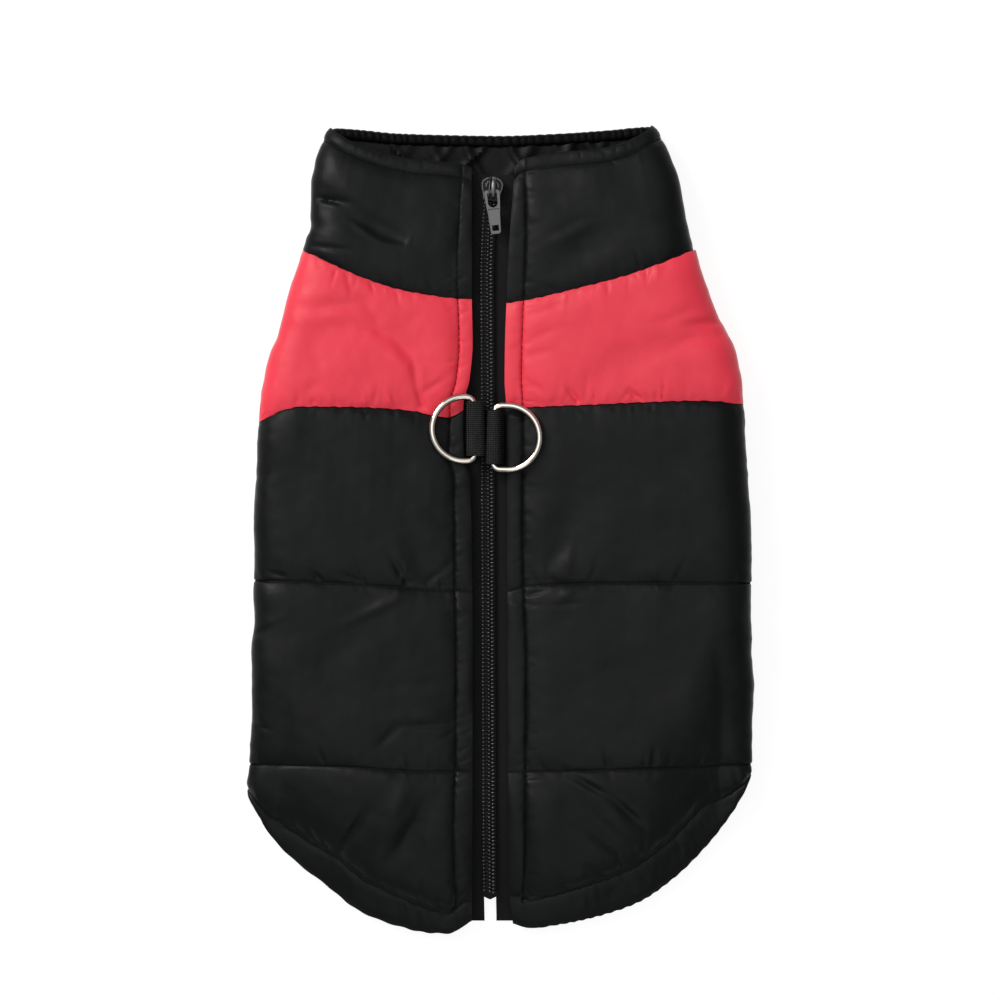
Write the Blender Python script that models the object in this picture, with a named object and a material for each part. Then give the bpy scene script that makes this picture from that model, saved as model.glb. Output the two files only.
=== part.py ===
"""Padded dog jacket that zips up the back, lying flat on its chest with the zip upwards.

The frame is in metres: +Z is up, +Y runs from the hem to the neck and +X to the right as the
jacket is seen from above. The origin is on the surface that it lies on, under the middle of its
outline. Sizes in the tables are in millimetres. "Left" and "right" are as seen from above.

The cloth is a tube of padded walls: collar, yoke and back panel on each side of the zip, each of
which wraps round the side fold to the seam of the chest panel that lies on the surface.
"""

import math

import bmesh
import bpy
import numpy as np
from mathutils import Matrix, Vector

MM = 0.001
LEFT, RIGHT = -1, 1
SIDE_NAMES = {LEFT: "left", RIGHT: "right"}

# Walls
WALL = 3.0  # padded cloth at a seam
LOFT = 3.0  # how far a quilted channel stands above its seams
SEAM_DIP = 0.7  # how far a stitched line sinks into the cloth
LOFT_RUN = 6.5  # distance from a seam over which the padding fills out
BAND_RUN = 1.6  # the same in a narrow stitched band
BAND_LOFT = 0.3  # how much of it a stitched band has
FOLD_LEVEL = 0.7  # how much less a seam dips at the side fold than on top
SEAM_GAP = 0.45  # between pieces that are sewn together

# Stitched bands along the free edges
PLACKET_BAND = 6.4
BAND_SHARE = {LEFT: 0.89, RIGHT: 1.11}  # the two plackets aren't stitched at the same width
NECK_BAND = 5.6

# The flattened tube
FOLD_SHARE = 0.7  # radius of the side fold, as a share of the tube's height
FOLD_POWER = 0.87  # 1 is an ellipse, and less is squarer
SAG = 2.6  # how far the top layer dips from the side folds to the zip
TAIL_RUN = 60.0  # the back panel comes down to the surface over this much above its hem
SIDE_PUFF = 1.2  # what the padding adds to the outline at the side folds

# Zip
ZIP_X = -4.5  # the middle of its run, where the height over it is taken
TAPE_GAP = 2.55  # from the zip's middle to each tape's edge
TAPE = 0.8
TAPE_PLAY = 0.5  # between the tape and the placket over it
TAPE_UNDER = 6.0  # how far a tape runs in under its placket
CHAIN_WIDTH, CHAIN_DEPTH = 6.6, 2.4
CHAIN_TOP, CHAIN_END = 147.0, -158.6
TAPE_TOP, TAPE_END = 153.0, -169.9
ZIP_PLAY, ZIP_FLOOR = 0.2, 0.0
ZIP_REACH = 6.8  # from the zip's middle to where the plackets' height is taken

# D rings: half a circle of wire, and two short legs with rounded corners to a straight bar
WIRE = 2.8
RING_RADIUS = 13.7
RING_CORNER = 2.8
WEBBING_WIDTH, WEBBING = 23.4, 1.3
BAR_PLAY = 0.3
TAB_GAP = 0.9  # from the webbing to the placket's edge
RING_SEGMENTS = 8

# Slider and pull
SLIDER_Y = 146.0
SLIDER_UP, SLIDER_DOWN = 1.5, 2.9  # from the middle of the teeth to each plate
SLIDER_WALL = 1.0
CROWN_RISE = 3.3
SLIDER_TURN = -4.5
SLIDER_PLATE = (
    (-3.5, -4.9),
    (3.5, -4.9),
    (3.9, -2.6),
    (4.6, 0.4),
    (4.8, 2.4),
    (4.4, 3.6),
    (2.0, 5.2),
    (-2.0, 5.2),
    (-4.4, 3.6),
    (-4.8, 2.4),
    (-4.6, 0.4),
    (-3.9, -2.6),
)
PULL_PLATE = 1.4
PULL_TURN = 6.0  # degrees that the pull leans towards the right
PULL_DROOP = -3.5
PULL_BACK, PULL_UP = 1.4, 1.45  # from the slider's middle, and above its upper plate
# The pull hangs down its own -y from the pivot, in the middle of the bar above its upper hole.
PULL_OUTLINE = (
    (-2.6, 0.7),
    (2.6, 0.7),
    (3.3, 0.0),
    (3.2, -3.0),
    (2.85, -7.4),
    (2.6, -9.0),
    (2.1, -17.6),
    (1.5, -18.4),
    (-1.5, -18.4),
    (-2.1, -17.6),
    (-2.6, -9.0),
    (-2.85, -7.4),
    (-3.2, -3.0),
    (-3.3, 0.0),
)
PULL_UPPER_HOLE = (
    (-2.1, -0.6),
    (2.1, -0.6),
    (2.1, -5.3),
    (1.4, -6.5),
    (0.0, -7.0),
    (-1.4, -6.5),
    (-2.1, -5.3),
)
PULL_END_HOLE = ((-1.45, -14.6), (1.45, -14.6), (1.45, -17.1), (-1.45, -17.1))


def table(columns, *rows):
    """Named columns from rows of numbers."""
    return dict(zip(columns.split(), np.array(rows, float).T))


# The outline seen from above, from the corners of the neck down to the hem's side corners.
OUTLINE = table(
    "y left right",
    (174.0, -72.6, 66.4),
    (170.7, -75.4, 69.4),
    (165.6, -77.2, 71.4),
    (157.8, -78.9, 74.2),
    (150.1, -80.6, 76.8),
    (141.5, -81.5, 78.5),
    (132.9, -81.6, 80.2),
    (124.3, -83.4, 82.3),
    (115.7, -86.4, 84.9),
    (98.5, -91.2, 91.0),
    (81.3, -96.7, 98.4),
    (64.1, -101.6, 103.4),
    (46.9, -103.5, 104.6),
    (12.5, -104.8, 106.8),
    (-39.1, -105.7, 107.8),
    (-90.7, -107.0, 108.2),
    (-101.5, -107.9, 109.0),
)
# The plackets' edges on each side of the zip. The left one gives way to the ring's webbing.
PLACKET = table(
    "y left right",
    (160.0, -12.3, 6.8),
    (145.0, -12.3, 5.7),
    (122.0, -12.2, 4.0),
    (98.0, -12.1, 2.8),
    (80.0, -11.8, 2.2),
    (64.0, -13.2, 2.0),
    (54.5, -15.6, 2.6),
    (43.0, -15.9, 2.9),
    (31.5, -15.6, 3.0),
    (22.0, -12.8, 3.0),
    (-50.0, -11.8, 3.4),
    (-150.0, -12.0, 3.9),
    (-172.0, -12.4, 5.8),
)
# The middle of the zip.
ZIP_LINE = table(
    "y x",
    (156.0, -2.9),
    (147.0, -3.4),
    (138.0, -4.2),
    (126.0, -5.0),
    (110.0, -5.4),
    (60.0, -5.2),
    (0.0, -5.0),
    (-80.0, -4.7),
    (-150.0, -4.4),
    (-169.0, -4.1),
)
# The hem below the side corners: distance from the frame's centre, and how far down it reaches.
HEM = table(
    "x left right",
    (0.0, -168.8, -168.8),
    (5.8, -168.8, -170.0),
    (10.0, -168.8, -171.2),
    (12.4, -168.9, -171.7),
    (14.0, -170.2, -171.9),
    (18.0, -173.3, -171.8),
    (21.0, -174.3, -171.2),
    (30.0, -174.0, -169.6),
    (45.0, -170.7, -166.1),
    (60.0, -164.8, -160.8),
    (75.0, -153.3, -150.6),
    (90.0, -141.6, -135.6),
    (98.0, -133.2, -125.4),
    (104.0, -122.4, -116.0),
    (108.4, -113.4, -105.6),
)
# Width of the stitched hem.
HEM_BAND = table(
    "x left right",
    (8.0, 7.2, 10.8),
    (20.0, 8.1, 12.2),
    (35.0, 10.8, 13.6),
    (52.0, 12.7, 14.4),
    (70.0, 11.3, 13.4),
    (85.0, 9.4, 12.2),
    (95.0, 6.5, 9.9),
    (102.0, 4.2, 7.6),
    (108.4, 3.0, 3.5),
)
# Lines across the top layer, by the share of the way from the placket's edge to the outline.
NECK_EDGE = table(
    "share left right",
    (0.0, 155.4, 155.8),
    (0.05, 156.3, 158.2),
    (0.18, 157.6, 160.3),
    (0.35, 158.4, 162.2),
    (0.47, 159.8, 162.8),
    (0.59, 161.4, 163.7),
    (0.72, 164.2, 165.8),
    (0.84, 167.4, 168.8),
    (1.0, 172.6, 173.6),
)
COLLAR_SEAM = table(
    "share left right",
    (0.0, 98.9, 97.2),
    (0.1, 99.3, 98.6),
    (0.25, 100.8, 101.4),
    (0.4, 102.9, 104.5),
    (0.6, 107.5, 108.7),
    (0.8, 113.4, 114.0),
    (1.0, 119.4, 119.5),
)
YOKE_SEAM = table(
    "share left right",
    (0.0, 51.0, 52.0),
    (0.07, 47.9, 52.2),
    (0.15, 48.8, 52.5),
    (0.25, 50.6, 52.9),
    (0.4, 51.8, 53.5),
    (0.6, 52.4, 54.4),
    (0.8, 52.5, 55.0),
    (0.9, 50.8, 54.8),
    (1.0, 45.4, 53.2),
)
QUILT_UPPER = table(
    "share left right",
    (0.0, -26.4, -26.6),
    (0.1, -26.2, -24.2),
    (0.4, -24.4, -23.0),
    (0.6, -23.0, -22.9),
    (1.0, -21.9, -23.0),
)
QUILT_LOWER = table(
    "share left right",
    (0.0, -103.6, -104.2),
    (0.2, -103.9, -103.8),
    (0.6, -101.6, -102.4),
    (1.0, -100.8, -100.8),
)
# Height of the flattened tube along the jacket.
HEIGHT = table(
    "y height",
    (174.0, 13.5),
    (165.0, 16.0),
    (145.0, 19.0),
    (115.0, 20.5),
    (60.0, 21.0),
    (-90.0, 20.5),
    (-174.0, 20.5),
)
# The chest panel's side seams, on the underside, by distance from the frame's centre.
SIDE_SEAM = table(
    "y x",
    (175.0, 46.0),
    (120.0, 50.0),
    (75.0, 60.0),
    (30.0, 66.0),
    (-30.0, 76.0),
    (-100.0, 81.0),
)
ARMHOLE_Y, ARMHOLE_LENGTH, ARMHOLE_WIDTH = 73.0, 78.0, 38.0
ARMHOLE_POWER = 0.6
# The throat edge of the neck, and the chest panel's hem under the belly.
THROAT_EDGE = table(
    "x y",
    (-75.0, 173.4),
    (-60.0, 172.3),
    (-45.0, 170.8),
    (-20.0, 170.0),
    (0.0, 169.7),
    (20.0, 170.4),
    (45.0, 172.0),
    (60.0, 173.4),
    (70.0, 174.0),
)
UNDER_HEM, UNDER_LIFT = -104.0, 8.0
BELLY_HEM = table("x y", (0.0, -74.0), (30.0, -77.0), (55.0, -86.0), (81.0, UNDER_HEM))
CASING, CASING_DEPTH = 5.2, 5.0
CASING_LEFT, CASING_RIGHT = -69.0, 62.5
NECK_TURN = 48.0  # angle round the side fold at which the neck's edge is at the throat's
GATHER_PITCH, GATHER_DEPTH = 3.4, 0.3

# The largest soft troughs in the padding: middle, direction in degrees, half length, half width, depth.
TROUGHS = table(
    "x y turn length width depth",
    (-52.0, 128.0, -24.0, 17.0, 5.0, 1.7),
    (-70.0, 140.0, -35.0, 12.0, 5.0, 1.4),
    (38.0, 122.0, 28.0, 22.0, 7.0, 1.0),
    (-38.0, 80.0, -50.0, 20.0, 7.0, 1.5),
    (-82.0, 78.0, 65.0, 18.0, 7.0, 1.0),
    (88.0, 84.0, 12.0, 12.0, 4.5, 2.2),
    (62.0, 78.0, 32.0, 24.0, 8.0, 1.2),
    (24.0, -4.0, 60.0, 20.0, 7.0, 1.0),
    (-34.0, -14.0, -65.0, 14.0, 6.0, 1.2),
    (-86.0, 22.0, 75.0, 26.0, 8.0, 1.0),
    (-70.0, -52.0, 35.0, 18.0, 7.0, 1.0),
    (54.0, -60.0, -30.0, 26.0, 9.0, 0.9),
    (-58.0, -128.0, 55.0, 18.0, 6.0, 1.4),
    (-38.0, -134.0, 62.0, 16.0, 6.0, 1.1),
    (42.0, -124.0, -40.0, 24.0, 6.0, 1.5),
)


def smooth(rows, key, name, at):
    """A column of a table read between its rows, by a cubic that doesn't overshoot them."""
    order = np.argsort(rows[key])
    xs, ys = rows[key][order], rows[name][order]
    step = np.diff(xs)
    rise = np.diff(ys) / step
    slope = np.empty_like(ys)
    slope[0], slope[-1] = rise[0], rise[-1]
    product = rise[:-1] * rise[1:]
    total = np.where(product > 0, rise[:-1] + rise[1:], 1.0)
    slope[1:-1] = np.where(product > 0, 2 * product / total, 0.0)
    at = np.clip(np.asarray(at, float), xs[0], xs[-1])
    i = np.clip(np.searchsorted(xs, at) - 1, 0, len(step) - 1)
    t = (at - xs[i]) / step[i]
    return (
        ys[i] * (1 + 2 * t) * (1 - t) ** 2
        + ys[i + 1] * t * t * (3 - 2 * t)
        + step[i] * (slope[i] * t * (1 - t) ** 2 - slope[i + 1] * t * t * (1 - t))
    )


def outline_x(side, y):
    return smooth(OUTLINE, "y", SIDE_NAMES[side], y) - side * SIDE_PUFF


def placket_x(side, y):
    return smooth(PLACKET, "y", SIDE_NAMES[side], y)


def zip_x(y):
    return float(smooth(ZIP_LINE, "y", "x", y))


def hem_y(side, x):
    return smooth(HEM, "x", SIDE_NAMES[side], side * x)


def hem_band(side, x):
    return smooth(HEM_BAND, "x", SIDE_NAMES[side], side * x)


def hem_slant(side, x, reach=2.0):
    """How much longer than its shortest distance the way straight down to the hem is."""
    rise = (hem_y(side, x + reach) - hem_y(side, x - reach)) / (2 * reach)
    return np.sqrt(1 + rise**2)


def armhole(y):
    """Half the armhole's width at a height up the jacket, and 0 above and below it."""
    t = (np.asarray(y, float) - ARMHOLE_Y) / (ARMHOLE_LENGTH / 2)
    return ARMHOLE_WIDTH / 2 * np.clip(1 - t**2, 0, None) ** ARMHOLE_POWER


def top_height(side, x, y):
    """Height of the top layer's plain outer surface, from the zip to the side fold."""
    x, y = np.asarray(x, float), np.asarray(y, float)
    tube = smooth(HEIGHT, "y", "height", y)
    inner, outer = placket_x(side, y), outline_x(side, y)
    dip = SAG * (1 - np.clip((x - inner) / (outer - inner), -0.2, 1)) ** 2
    near_zip = np.exp(-(((x - ZIP_X) / 14.0) ** 2))
    near_corner = np.clip((side * x - 78.0) / 24.0, 0, 1) ** 2
    at_hem = 3.1 + 1.3 * near_zip + 4.4 * near_corner
    to_hem = (y - hem_y(side, x)) / hem_slant(side, x, 14.0)
    rise = np.sin(np.clip(to_hem / TAIL_RUN, 0, 1) * math.pi / 2)
    return at_hem + (tube - dip - at_hem) * rise


# Columns of a shell run from the placket's edge over the top, round the side fold and back
# under to the chest panel's seam. The first few keep their distance from the placket's edge.
NEAR_RUNS = (0.0, 1.6, 3.6, PLACKET_BAND, 9.2, 13.5, 21.0)
FAR_SHARES = (0.17, 0.34, 0.51, 0.68, 0.84, 1.0)
FOLD_ANGLES = (68.0, 46.0, 24.0, 2.0, -22.0, -50.0, -90.0)
UNDER_SHARES = (0.5, 1.0)
TOP, FOLD, UNDER = range(3)
COLUMNS = (
    [(TOP, run, 0.0) for run in NEAR_RUNS]
    + [(TOP, NEAR_RUNS[-1], share) for share in FAR_SHARES]
    + [(FOLD, angle, 0.0) for angle in FOLD_ANGLES]
    + [(UNDER, share, 0.0) for share in UNDER_SHARES]
)


def signed_power(value, power):
    return math.copysign(abs(value) ** power, value)


def shell_point(side, column, y, ends=None):
    """x and z of a column at heights y up the jacket. ends gives (outline x, tube height, share
    of the way to the hem), where the tube closes to the hem's side corner."""
    zone, first, second = column
    inner = placket_x(side, y)
    if ends is None:
        outer = outline_x(side, y)
        guess = outer - side * 12.0
        height = top_height(side, guess, y)
    else:
        outer, height, _ = ends
    radius = FOLD_SHARE * height
    fold = outer - side * radius
    if zone == TOP:
        near = inner + side * first * BAND_SHARE[side]
        x = near + (fold - near) * second
        return x, top_height(side, x, y)
    if zone == FOLD:
        angle = math.radians(first)
        across = signed_power(max(math.cos(angle), 0.0), FOLD_POWER)
        up = signed_power(math.sin(angle), FOLD_POWER)
        crown = top_height(side, fold, y)
        return fold + side * radius * across, crown / 2 * (1 + up)
    seam = side * (smooth(SIDE_SEAM, "y", "x", y) + armhole(y) + SEAM_GAP / 2)
    return fold + (seam - fold) * first, np.zeros_like(fold)


def line_y(side, rows, column):
    """Height up the jacket of a line across it, where it crosses a column."""
    y = smooth(rows, "share", SIDE_NAMES[side], 0.5)
    for _ in range(4):
        x, _ = shell_point(side, column, y)
        inner, outer = placket_x(side, y), outline_x(side, y)
        share = 1.0 if column[0] == UNDER else (x - inner) / (outer - inner)
        if column[0] == FOLD and column[1] < 0:
            share = 1.0
        y = smooth(rows, "share", SIDE_NAMES[side], share)
    return float(y)


def throat_y(x):
    return smooth(THROAT_EDGE, "x", "y", x)


def neck_line(side, column):
    """The neck's edge, which turns at the side fold from the near edge to the throat's."""
    near = line_y(side, NECK_EDGE, column)
    if column[0] == TOP:
        return near
    turned = 1.0 if column[0] == UNDER else np.clip(-column[1] / NECK_TURN, 0, 1) ** 1.5
    x, _ = shell_point(side, column, near)
    under = float(throat_y(x)) - CASING - SEAM_GAP
    return near + (under - near) * float(turned)


def rows_between(upper, lower, first, middle, last):
    """Heights from an upper line down to a lower one: distances from the upper one, then shares
    of what is left, then distances from the lower one."""
    top, bottom = upper - first[-1], lower + last[0]
    return np.array(
        [upper - run for run in first]
        + [top + (bottom - top) * share for share in middle]
        + [lower + run for run in last]
    )


def filled(distance, run):
    """How far the padding has filled out at a distance from a seam, from 0 to 1."""
    return 1 - np.exp(-np.clip(distance, 0, None) / run)


def from_seam(distance, columns):
    """The same at distances from a seam across columns, where the side fold dips less."""
    angle = np.array([column[1] if column[0] == FOLD else 90.0 for column in columns])
    level = FOLD_LEVEL * np.clip((60.0 - angle) / 50.0, 0, 1)
    part = filled(distance, LOFT_RUN)
    return part + (1 - part) * level


def across_band(distance, band):
    """The same across a stitched band along an edge, and in the cloth past it."""
    inside = BAND_LOFT * filled(distance, BAND_RUN) * filled(band - distance, BAND_RUN)
    return np.where(distance < band, inside, filled(distance - band, LOFT_RUN))


def troughs(x, y):
    """Depth of the soft troughs at points of the top layer."""
    depth = np.zeros_like(x)
    for cx, cy, turn, length, width, deep in zip(*TROUGHS.values()):
        c, s = math.cos(math.radians(turn)), math.sin(math.radians(turn))
        along = ((x - cx) * c + (y - cy) * s) / length
        across = (-(x - cx) * s + (y - cy) * c) / width
        depth += deep * np.exp(-(along**2) - across**2)
    return depth


def normals(points, flip):
    """Unit normals of a grid of points, from its neighbours."""
    down, along = np.gradient(points, axis=0), np.gradient(points, axis=1)
    n = np.cross(along, down) * flip
    n /= np.maximum(np.linalg.norm(n, axis=2, keepdims=True), 1e-9)
    for axis in (0, 1, 0):
        before = np.concatenate([n.take([0], axis), n.take(range(n.shape[axis] - 1), axis)], axis)
        after = np.concatenate([n.take(range(1, n.shape[axis]), axis), n.take([-1], axis)], axis)
        n = before + 2 * n + after
    return n / np.maximum(np.linalg.norm(n, axis=2, keepdims=True), 1e-9)


def add_object(name, verts, faces, material, shade_angle=35.0):
    mesh = bpy.data.meshes.new(name)
    mesh.from_pydata([tuple(c * MM for c in v) for v in verts], [], faces)
    work = bmesh.new()
    work.from_mesh(mesh)
    bmesh.ops.recalc_face_normals(work, faces=work.faces)
    work.to_mesh(mesh)
    work.free()
    mesh.shade_smooth()
    mesh.set_sharp_from_angle(angle=math.radians(shade_angle))
    mesh.materials.append(material)
    obj = bpy.data.objects.new(name, mesh)
    bpy.context.scene.collection.objects.link(obj)
    return obj


def add_wall(name, outer, inner, material):
    """A closed wall between two grids of points of the same size."""
    rows, columns = outer.shape[:2]
    count = rows * columns
    verts = np.concatenate([outer.reshape(-1, 3), inner.reshape(-1, 3)])

    def at(i, j):
        return i * columns + j

    faces = []
    for i in range(rows - 1):
        for j in range(columns - 1):
            quad = (at(i, j), at(i, j + 1), at(i + 1, j + 1), at(i + 1, j))
            faces.append(quad)
            faces.append(tuple(count + v for v in reversed(quad)))
    edge = [at(0, j) for j in range(columns)]
    edge += [at(i, columns - 1) for i in range(1, rows)]
    edge += [at(rows - 1, j) for j in range(columns - 2, -1, -1)]
    edge += [at(i, 0) for i in range(rows - 2, 0, -1)]
    for a, b in zip(edge, edge[1:] + edge[:1]):
        faces.append((b, a, count + a, count + b))
    return add_object(name, verts, faces, material)


def add_sweep(name, rings, material, closed=False):
    """A solid through rings of points; its ends are capped unless it closes on itself."""
    count, around = len(rings), len(rings[0])
    verts = [p for ring in rings for p in ring]
    faces = []
    for i in range(count if closed else count - 1):
        a, b = i * around, (i + 1) % count * around
        for j in range(around):
            k = (j + 1) % around
            faces.append((a + j, a + k, b + k, b + j))
    if not closed:
        faces.append(tuple(reversed(range(around))))
        faces.append(tuple(range((count - 1) * around, count * around)))
    return add_object(name, verts, faces, material)


def material(name, color, roughness, metallic=0.0):
    made = bpy.data.materials.new(name)
    made.use_nodes = True
    shader = made.node_tree.nodes["Principled BSDF"]
    shader.inputs["Base Color"].default_value = (*color, 1.0)
    shader.inputs["Roughness"].default_value = roughness
    shader.inputs["Metallic"].default_value = metallic
    made.diffuse_color = (*color, 1.0)
    return made


def shell(name, side, grid_y, above, below, cloth, ends=None):
    """One padded wall of the top layer, wrapped round its side fold. grid_y has a row for each
    line of points across the jacket; above and below are the distances to the seams."""
    base = np.zeros((*grid_y.shape, 3))
    for j, column in enumerate(COLUMNS):
        here = None if ends is None else tuple(value[:, j] for value in ends)
        x, z = shell_point(side, column, grid_y[:, j], here)
        base[:, j] = np.stack([x, grid_y[:, j], z], axis=1)
    n = normals(base, -side)
    run = np.abs(base[..., 0] - placket_x(side, grid_y))
    zone = np.array([column[0] for column in COLUMNS])
    angle = np.array([column[1] if column[0] == FOLD else 90.0 for column in COLUMNS])
    angle[zone == UNDER] = -90.0
    # The padding shows in full on top, less at the side fold and not underneath.
    shown = np.clip((angle + 45.0) / 75.0, 0, 1) ** 1.3
    across = np.where(zone == TOP, across_band(run, PLACKET_BAND * BAND_SHARE[side]), 1.0)
    loft = across * above * below
    rise = -SEAM_DIP + (LOFT + SEAM_DIP) * loft
    rise -= troughs(base[..., 0], base[..., 1]) * loft
    outer = base + n * (rise * shown)[..., None]
    outer[..., 2] = np.maximum(outer[..., 2], 0.0)
    inner = base - n * WALL
    inner[..., 2] = np.maximum(inner[..., 2], 0.0)
    return add_wall(name, outer, inner, cloth)


def panel_lines(side, rows):
    return np.array([line_y(side, rows, column) for column in COLUMNS])


def add_collar(side, cloth):
    """Stand collar: from the neck's stitched edge to the seam of the yoke."""
    upper = np.array([neck_line(side, column) for column in COLUMNS])
    lower = panel_lines(side, COLLAR_SEAM) + SEAM_GAP / 2
    first, last = (0.0, 1.4, 3.2, NECK_BAND, 8.2, 13.0), (7.0, 2.6, 0.0)
    y = rows_between(upper, lower, first, (0.33, 0.66), last)
    above, below = across_band(upper - y, NECK_BAND), from_seam(y - lower, COLUMNS)
    shell(f"collar_{SIDE_NAMES[side]}", side, y, above, below, cloth)


def add_yoke(side, cloth):
    """Coloured band between the collar and the back panel."""
    upper = panel_lines(side, COLLAR_SEAM) - SEAM_GAP / 2
    lower = panel_lines(side, YOKE_SEAM) + SEAM_GAP / 2
    y = rows_between(upper, lower, (0.0, 2.6, 7.0), (0.17, 0.4, 0.6, 0.83), (7.0, 2.6, 0.0))
    above, below = from_seam(upper - y, COLUMNS), from_seam(y - lower, COLUMNS)
    shell(f"yoke_{SIDE_NAMES[side]}", side, y, above, below, cloth)


def hem_corner(side):
    """Outline, tube height and height up the jacket where the fold meets the hem."""
    x = side * HEM["x"][-1]
    return x, 8.0, float(hem_y(side, x))


def hem_line(side, column):
    """x and y where a column of the back panel meets the hem."""
    corner_x, height, corner_y = hem_corner(side)
    radius = FOLD_SHARE * height
    fold = corner_x - side * radius
    zone, first, second = column
    if zone == TOP:
        near = placket_x(side, -168.0) + side * first * BAND_SHARE[side]
        x = near + (fold - near) * second
        return x, hem_y(side, x)
    if zone == FOLD:
        x = fold + side * radius * max(math.cos(math.radians(first)), 0.0)
        if first > 0:
            return x, corner_y + (hem_y(side, fold) - corner_y) * (first / 90.0) ** 1.5
        return x, corner_y + (UNDER_HEM - corner_y) * (first / 90.0) ** 2
    return fold, UNDER_HEM


def add_back(side, cloth):
    """Back panel: two quilted channels and the tail, whose hem comes down to the surface."""
    seam = panel_lines(side, YOKE_SEAM) - SEAM_GAP / 2
    upper, lower = panel_lines(side, QUILT_UPPER), panel_lines(side, QUILT_LOWER)
    angle = np.array([0.0 if column[0] == TOP else column[1] for column in COLUMNS])
    turned = np.where([column[0] == UNDER for column in COLUMNS], 1.0, np.clip(-angle / 90, 0, 1))
    lower = lower + UNDER_LIFT * turned
    hem = np.array([hem_line(side, column)[1] for column in COLUMNS], float)
    hem_x = np.array([hem_line(side, column)[0] for column in COLUMNS], float)
    first = rows_between(
        seam, upper, (0.0, 2.6, 7.0, 12.0, 17.0), (0.25, 0.5, 0.75), (7.0, 2.4, 0.0)
    )
    second = rows_between(upper, lower, (2.4, 7.0), (0.25, 0.5, 0.75), (7.0, 2.4, 0.0))
    slant = np.minimum(hem_slant(side, hem_x), (lower - hem) / 22.0)
    band = hem_band(side, hem_x)
    from_quilt = np.minimum((lower - hem) / 22.0, 1.0)
    top = lower - 7.0 * from_quilt
    bottom = hem + (band + 5.0) * slant
    tail = np.array(
        [lower - 2.4 * from_quilt, top]
        + [top + (bottom - top) * share for share in (0.33, 0.66)]
        + [bottom, hem + (band + 1.8) * slant]
        + [hem + band * share * slant for share in (1.0, 0.75, 0.25, 0.0)]
    )
    y = np.concatenate([first, second, tail])
    above = np.concatenate(
        [
            from_seam(seam - first, COLUMNS),
            from_seam(upper - second, COLUMNS),
            from_seam((lower - tail) / from_quilt, COLUMNS) * np.sqrt(from_quilt),
        ]
    )
    below = np.concatenate(
        [
            from_seam(first - upper, COLUMNS),
            from_seam(second - lower, COLUMNS),
            across_band((tail - hem) / slant, band),
        ]
    )
    # Below the lower quilting the tube closes towards the hem's side corner.
    corner_x, corner_height, _ = hem_corner(side)
    share = np.clip((lower - y) / (lower - hem), 0, 1)
    start_x = outline_x(side, np.maximum(y, lower))
    start_height = top_height(side, start_x - side * 12.0, np.maximum(y, lower))
    ends = (
        start_x + (corner_x - start_x) * share,
        start_height + (corner_height - start_height) * share,
        share,
    )
    shell(f"back_{SIDE_NAMES[side]}", side, y, above, below, cloth, ends)


def add_chest(cloth):
    """Chest panel, flat on the surface, with the inner half of each armhole cut from its sides."""
    rows, columns = 30, 15
    across = np.linspace(-1, 1, columns)
    share = np.linspace(0, 1, rows)[:, None]
    hem = smooth(BELLY_HEM, "x", "y", np.abs(across) * smooth(SIDE_SEAM, "y", "x", UNDER_HEM))
    top = throat_y(across * smooth(SIDE_SEAM, "y", "x", 170.0)) - CASING - SEAM_GAP
    y = hem + (top - hem) * share
    half = smooth(SIDE_SEAM, "y", "x", y) - armhole(y) - SEAM_GAP / 2
    outer = np.stack([across * half, y, np.zeros_like(y)], axis=2)
    inner = outer + np.array([0.0, 0.0, WALL])
    add_wall("chest_panel", inner, outer, cloth)


def add_throat_casing(cloth):
    """Gathered casing of the neck's elastic, along the throat edge."""
    gathers = round((CASING_RIGHT - CASING_LEFT) / GATHER_PITCH)
    per_gather = 3
    rings = []
    for k in range(gathers * per_gather + 1):
        x = CASING_LEFT + (CASING_RIGHT - CASING_LEFT) * k / (gathers * per_gather)
        puff = GATHER_DEPTH * math.cos(2 * math.pi * k / per_gather)
        y0 = float(throat_y(x)) - CASING
        wide, high = CASING + puff, CASING_DEPTH + puff
        profile = (
            (0.0, 0.0),
            (0.0, 0.7 * high),
            (0.28 * wide, high),
            (0.68 * wide, 0.96 * high),
            (wide, 0.55 * high),
            (wide - 0.6, 0.0),
        )
        rings.append([(x, y0 + dy, z) for dy, z in profile])
    add_sweep("throat_casing", rings, cloth)


def zip_height(y):
    """Height of the plackets' plain outer surface over the zip, which is level across."""
    reaches = (ZIP_REACH, ZIP_REACH + TAPE_UNDER)
    edges = [top_height(side, ZIP_X + side * run, y) for side in (LEFT, RIGHT) for run in reaches]
    return float(min(edges)) - ZIP_PLAY


def along_zip(x, y, depth):
    """A point at a depth under the plackets' outer surface near the zip."""
    step = 0.5
    slope = math.atan((zip_height(y + step) - zip_height(y - step)) / (2 * step))
    z = max(zip_height(y) - depth * math.cos(slope), ZIP_FLOOR)
    return (x, y + depth * math.sin(slope), z)


def zip_stations(top, end, count):
    return [top + (end - top) * k / (count - 1) for k in range(count)]


def add_zip_tape(side, cloth):
    """Woven tape from beside the zip's teeth to well under the placket."""
    depth = WALL + TAPE_PLAY
    rings = []
    for y in zip_stations(TAPE_TOP, TAPE_END, 34):
        edge = zip_x(y) + side * TAPE_GAP
        far = float(placket_x(side, y)) + side * TAPE_UNDER
        middle = float(placket_x(side, y))
        upper = [along_zip(x, y, depth) for x in (edge, middle, far)]
        lower = [along_zip(x, y, depth + TAPE) for x in (far, middle, edge)]
        rings.append(upper + lower)
    add_sweep(f"zip_tape_{SIDE_NAMES[side]}", rings, cloth)


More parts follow.
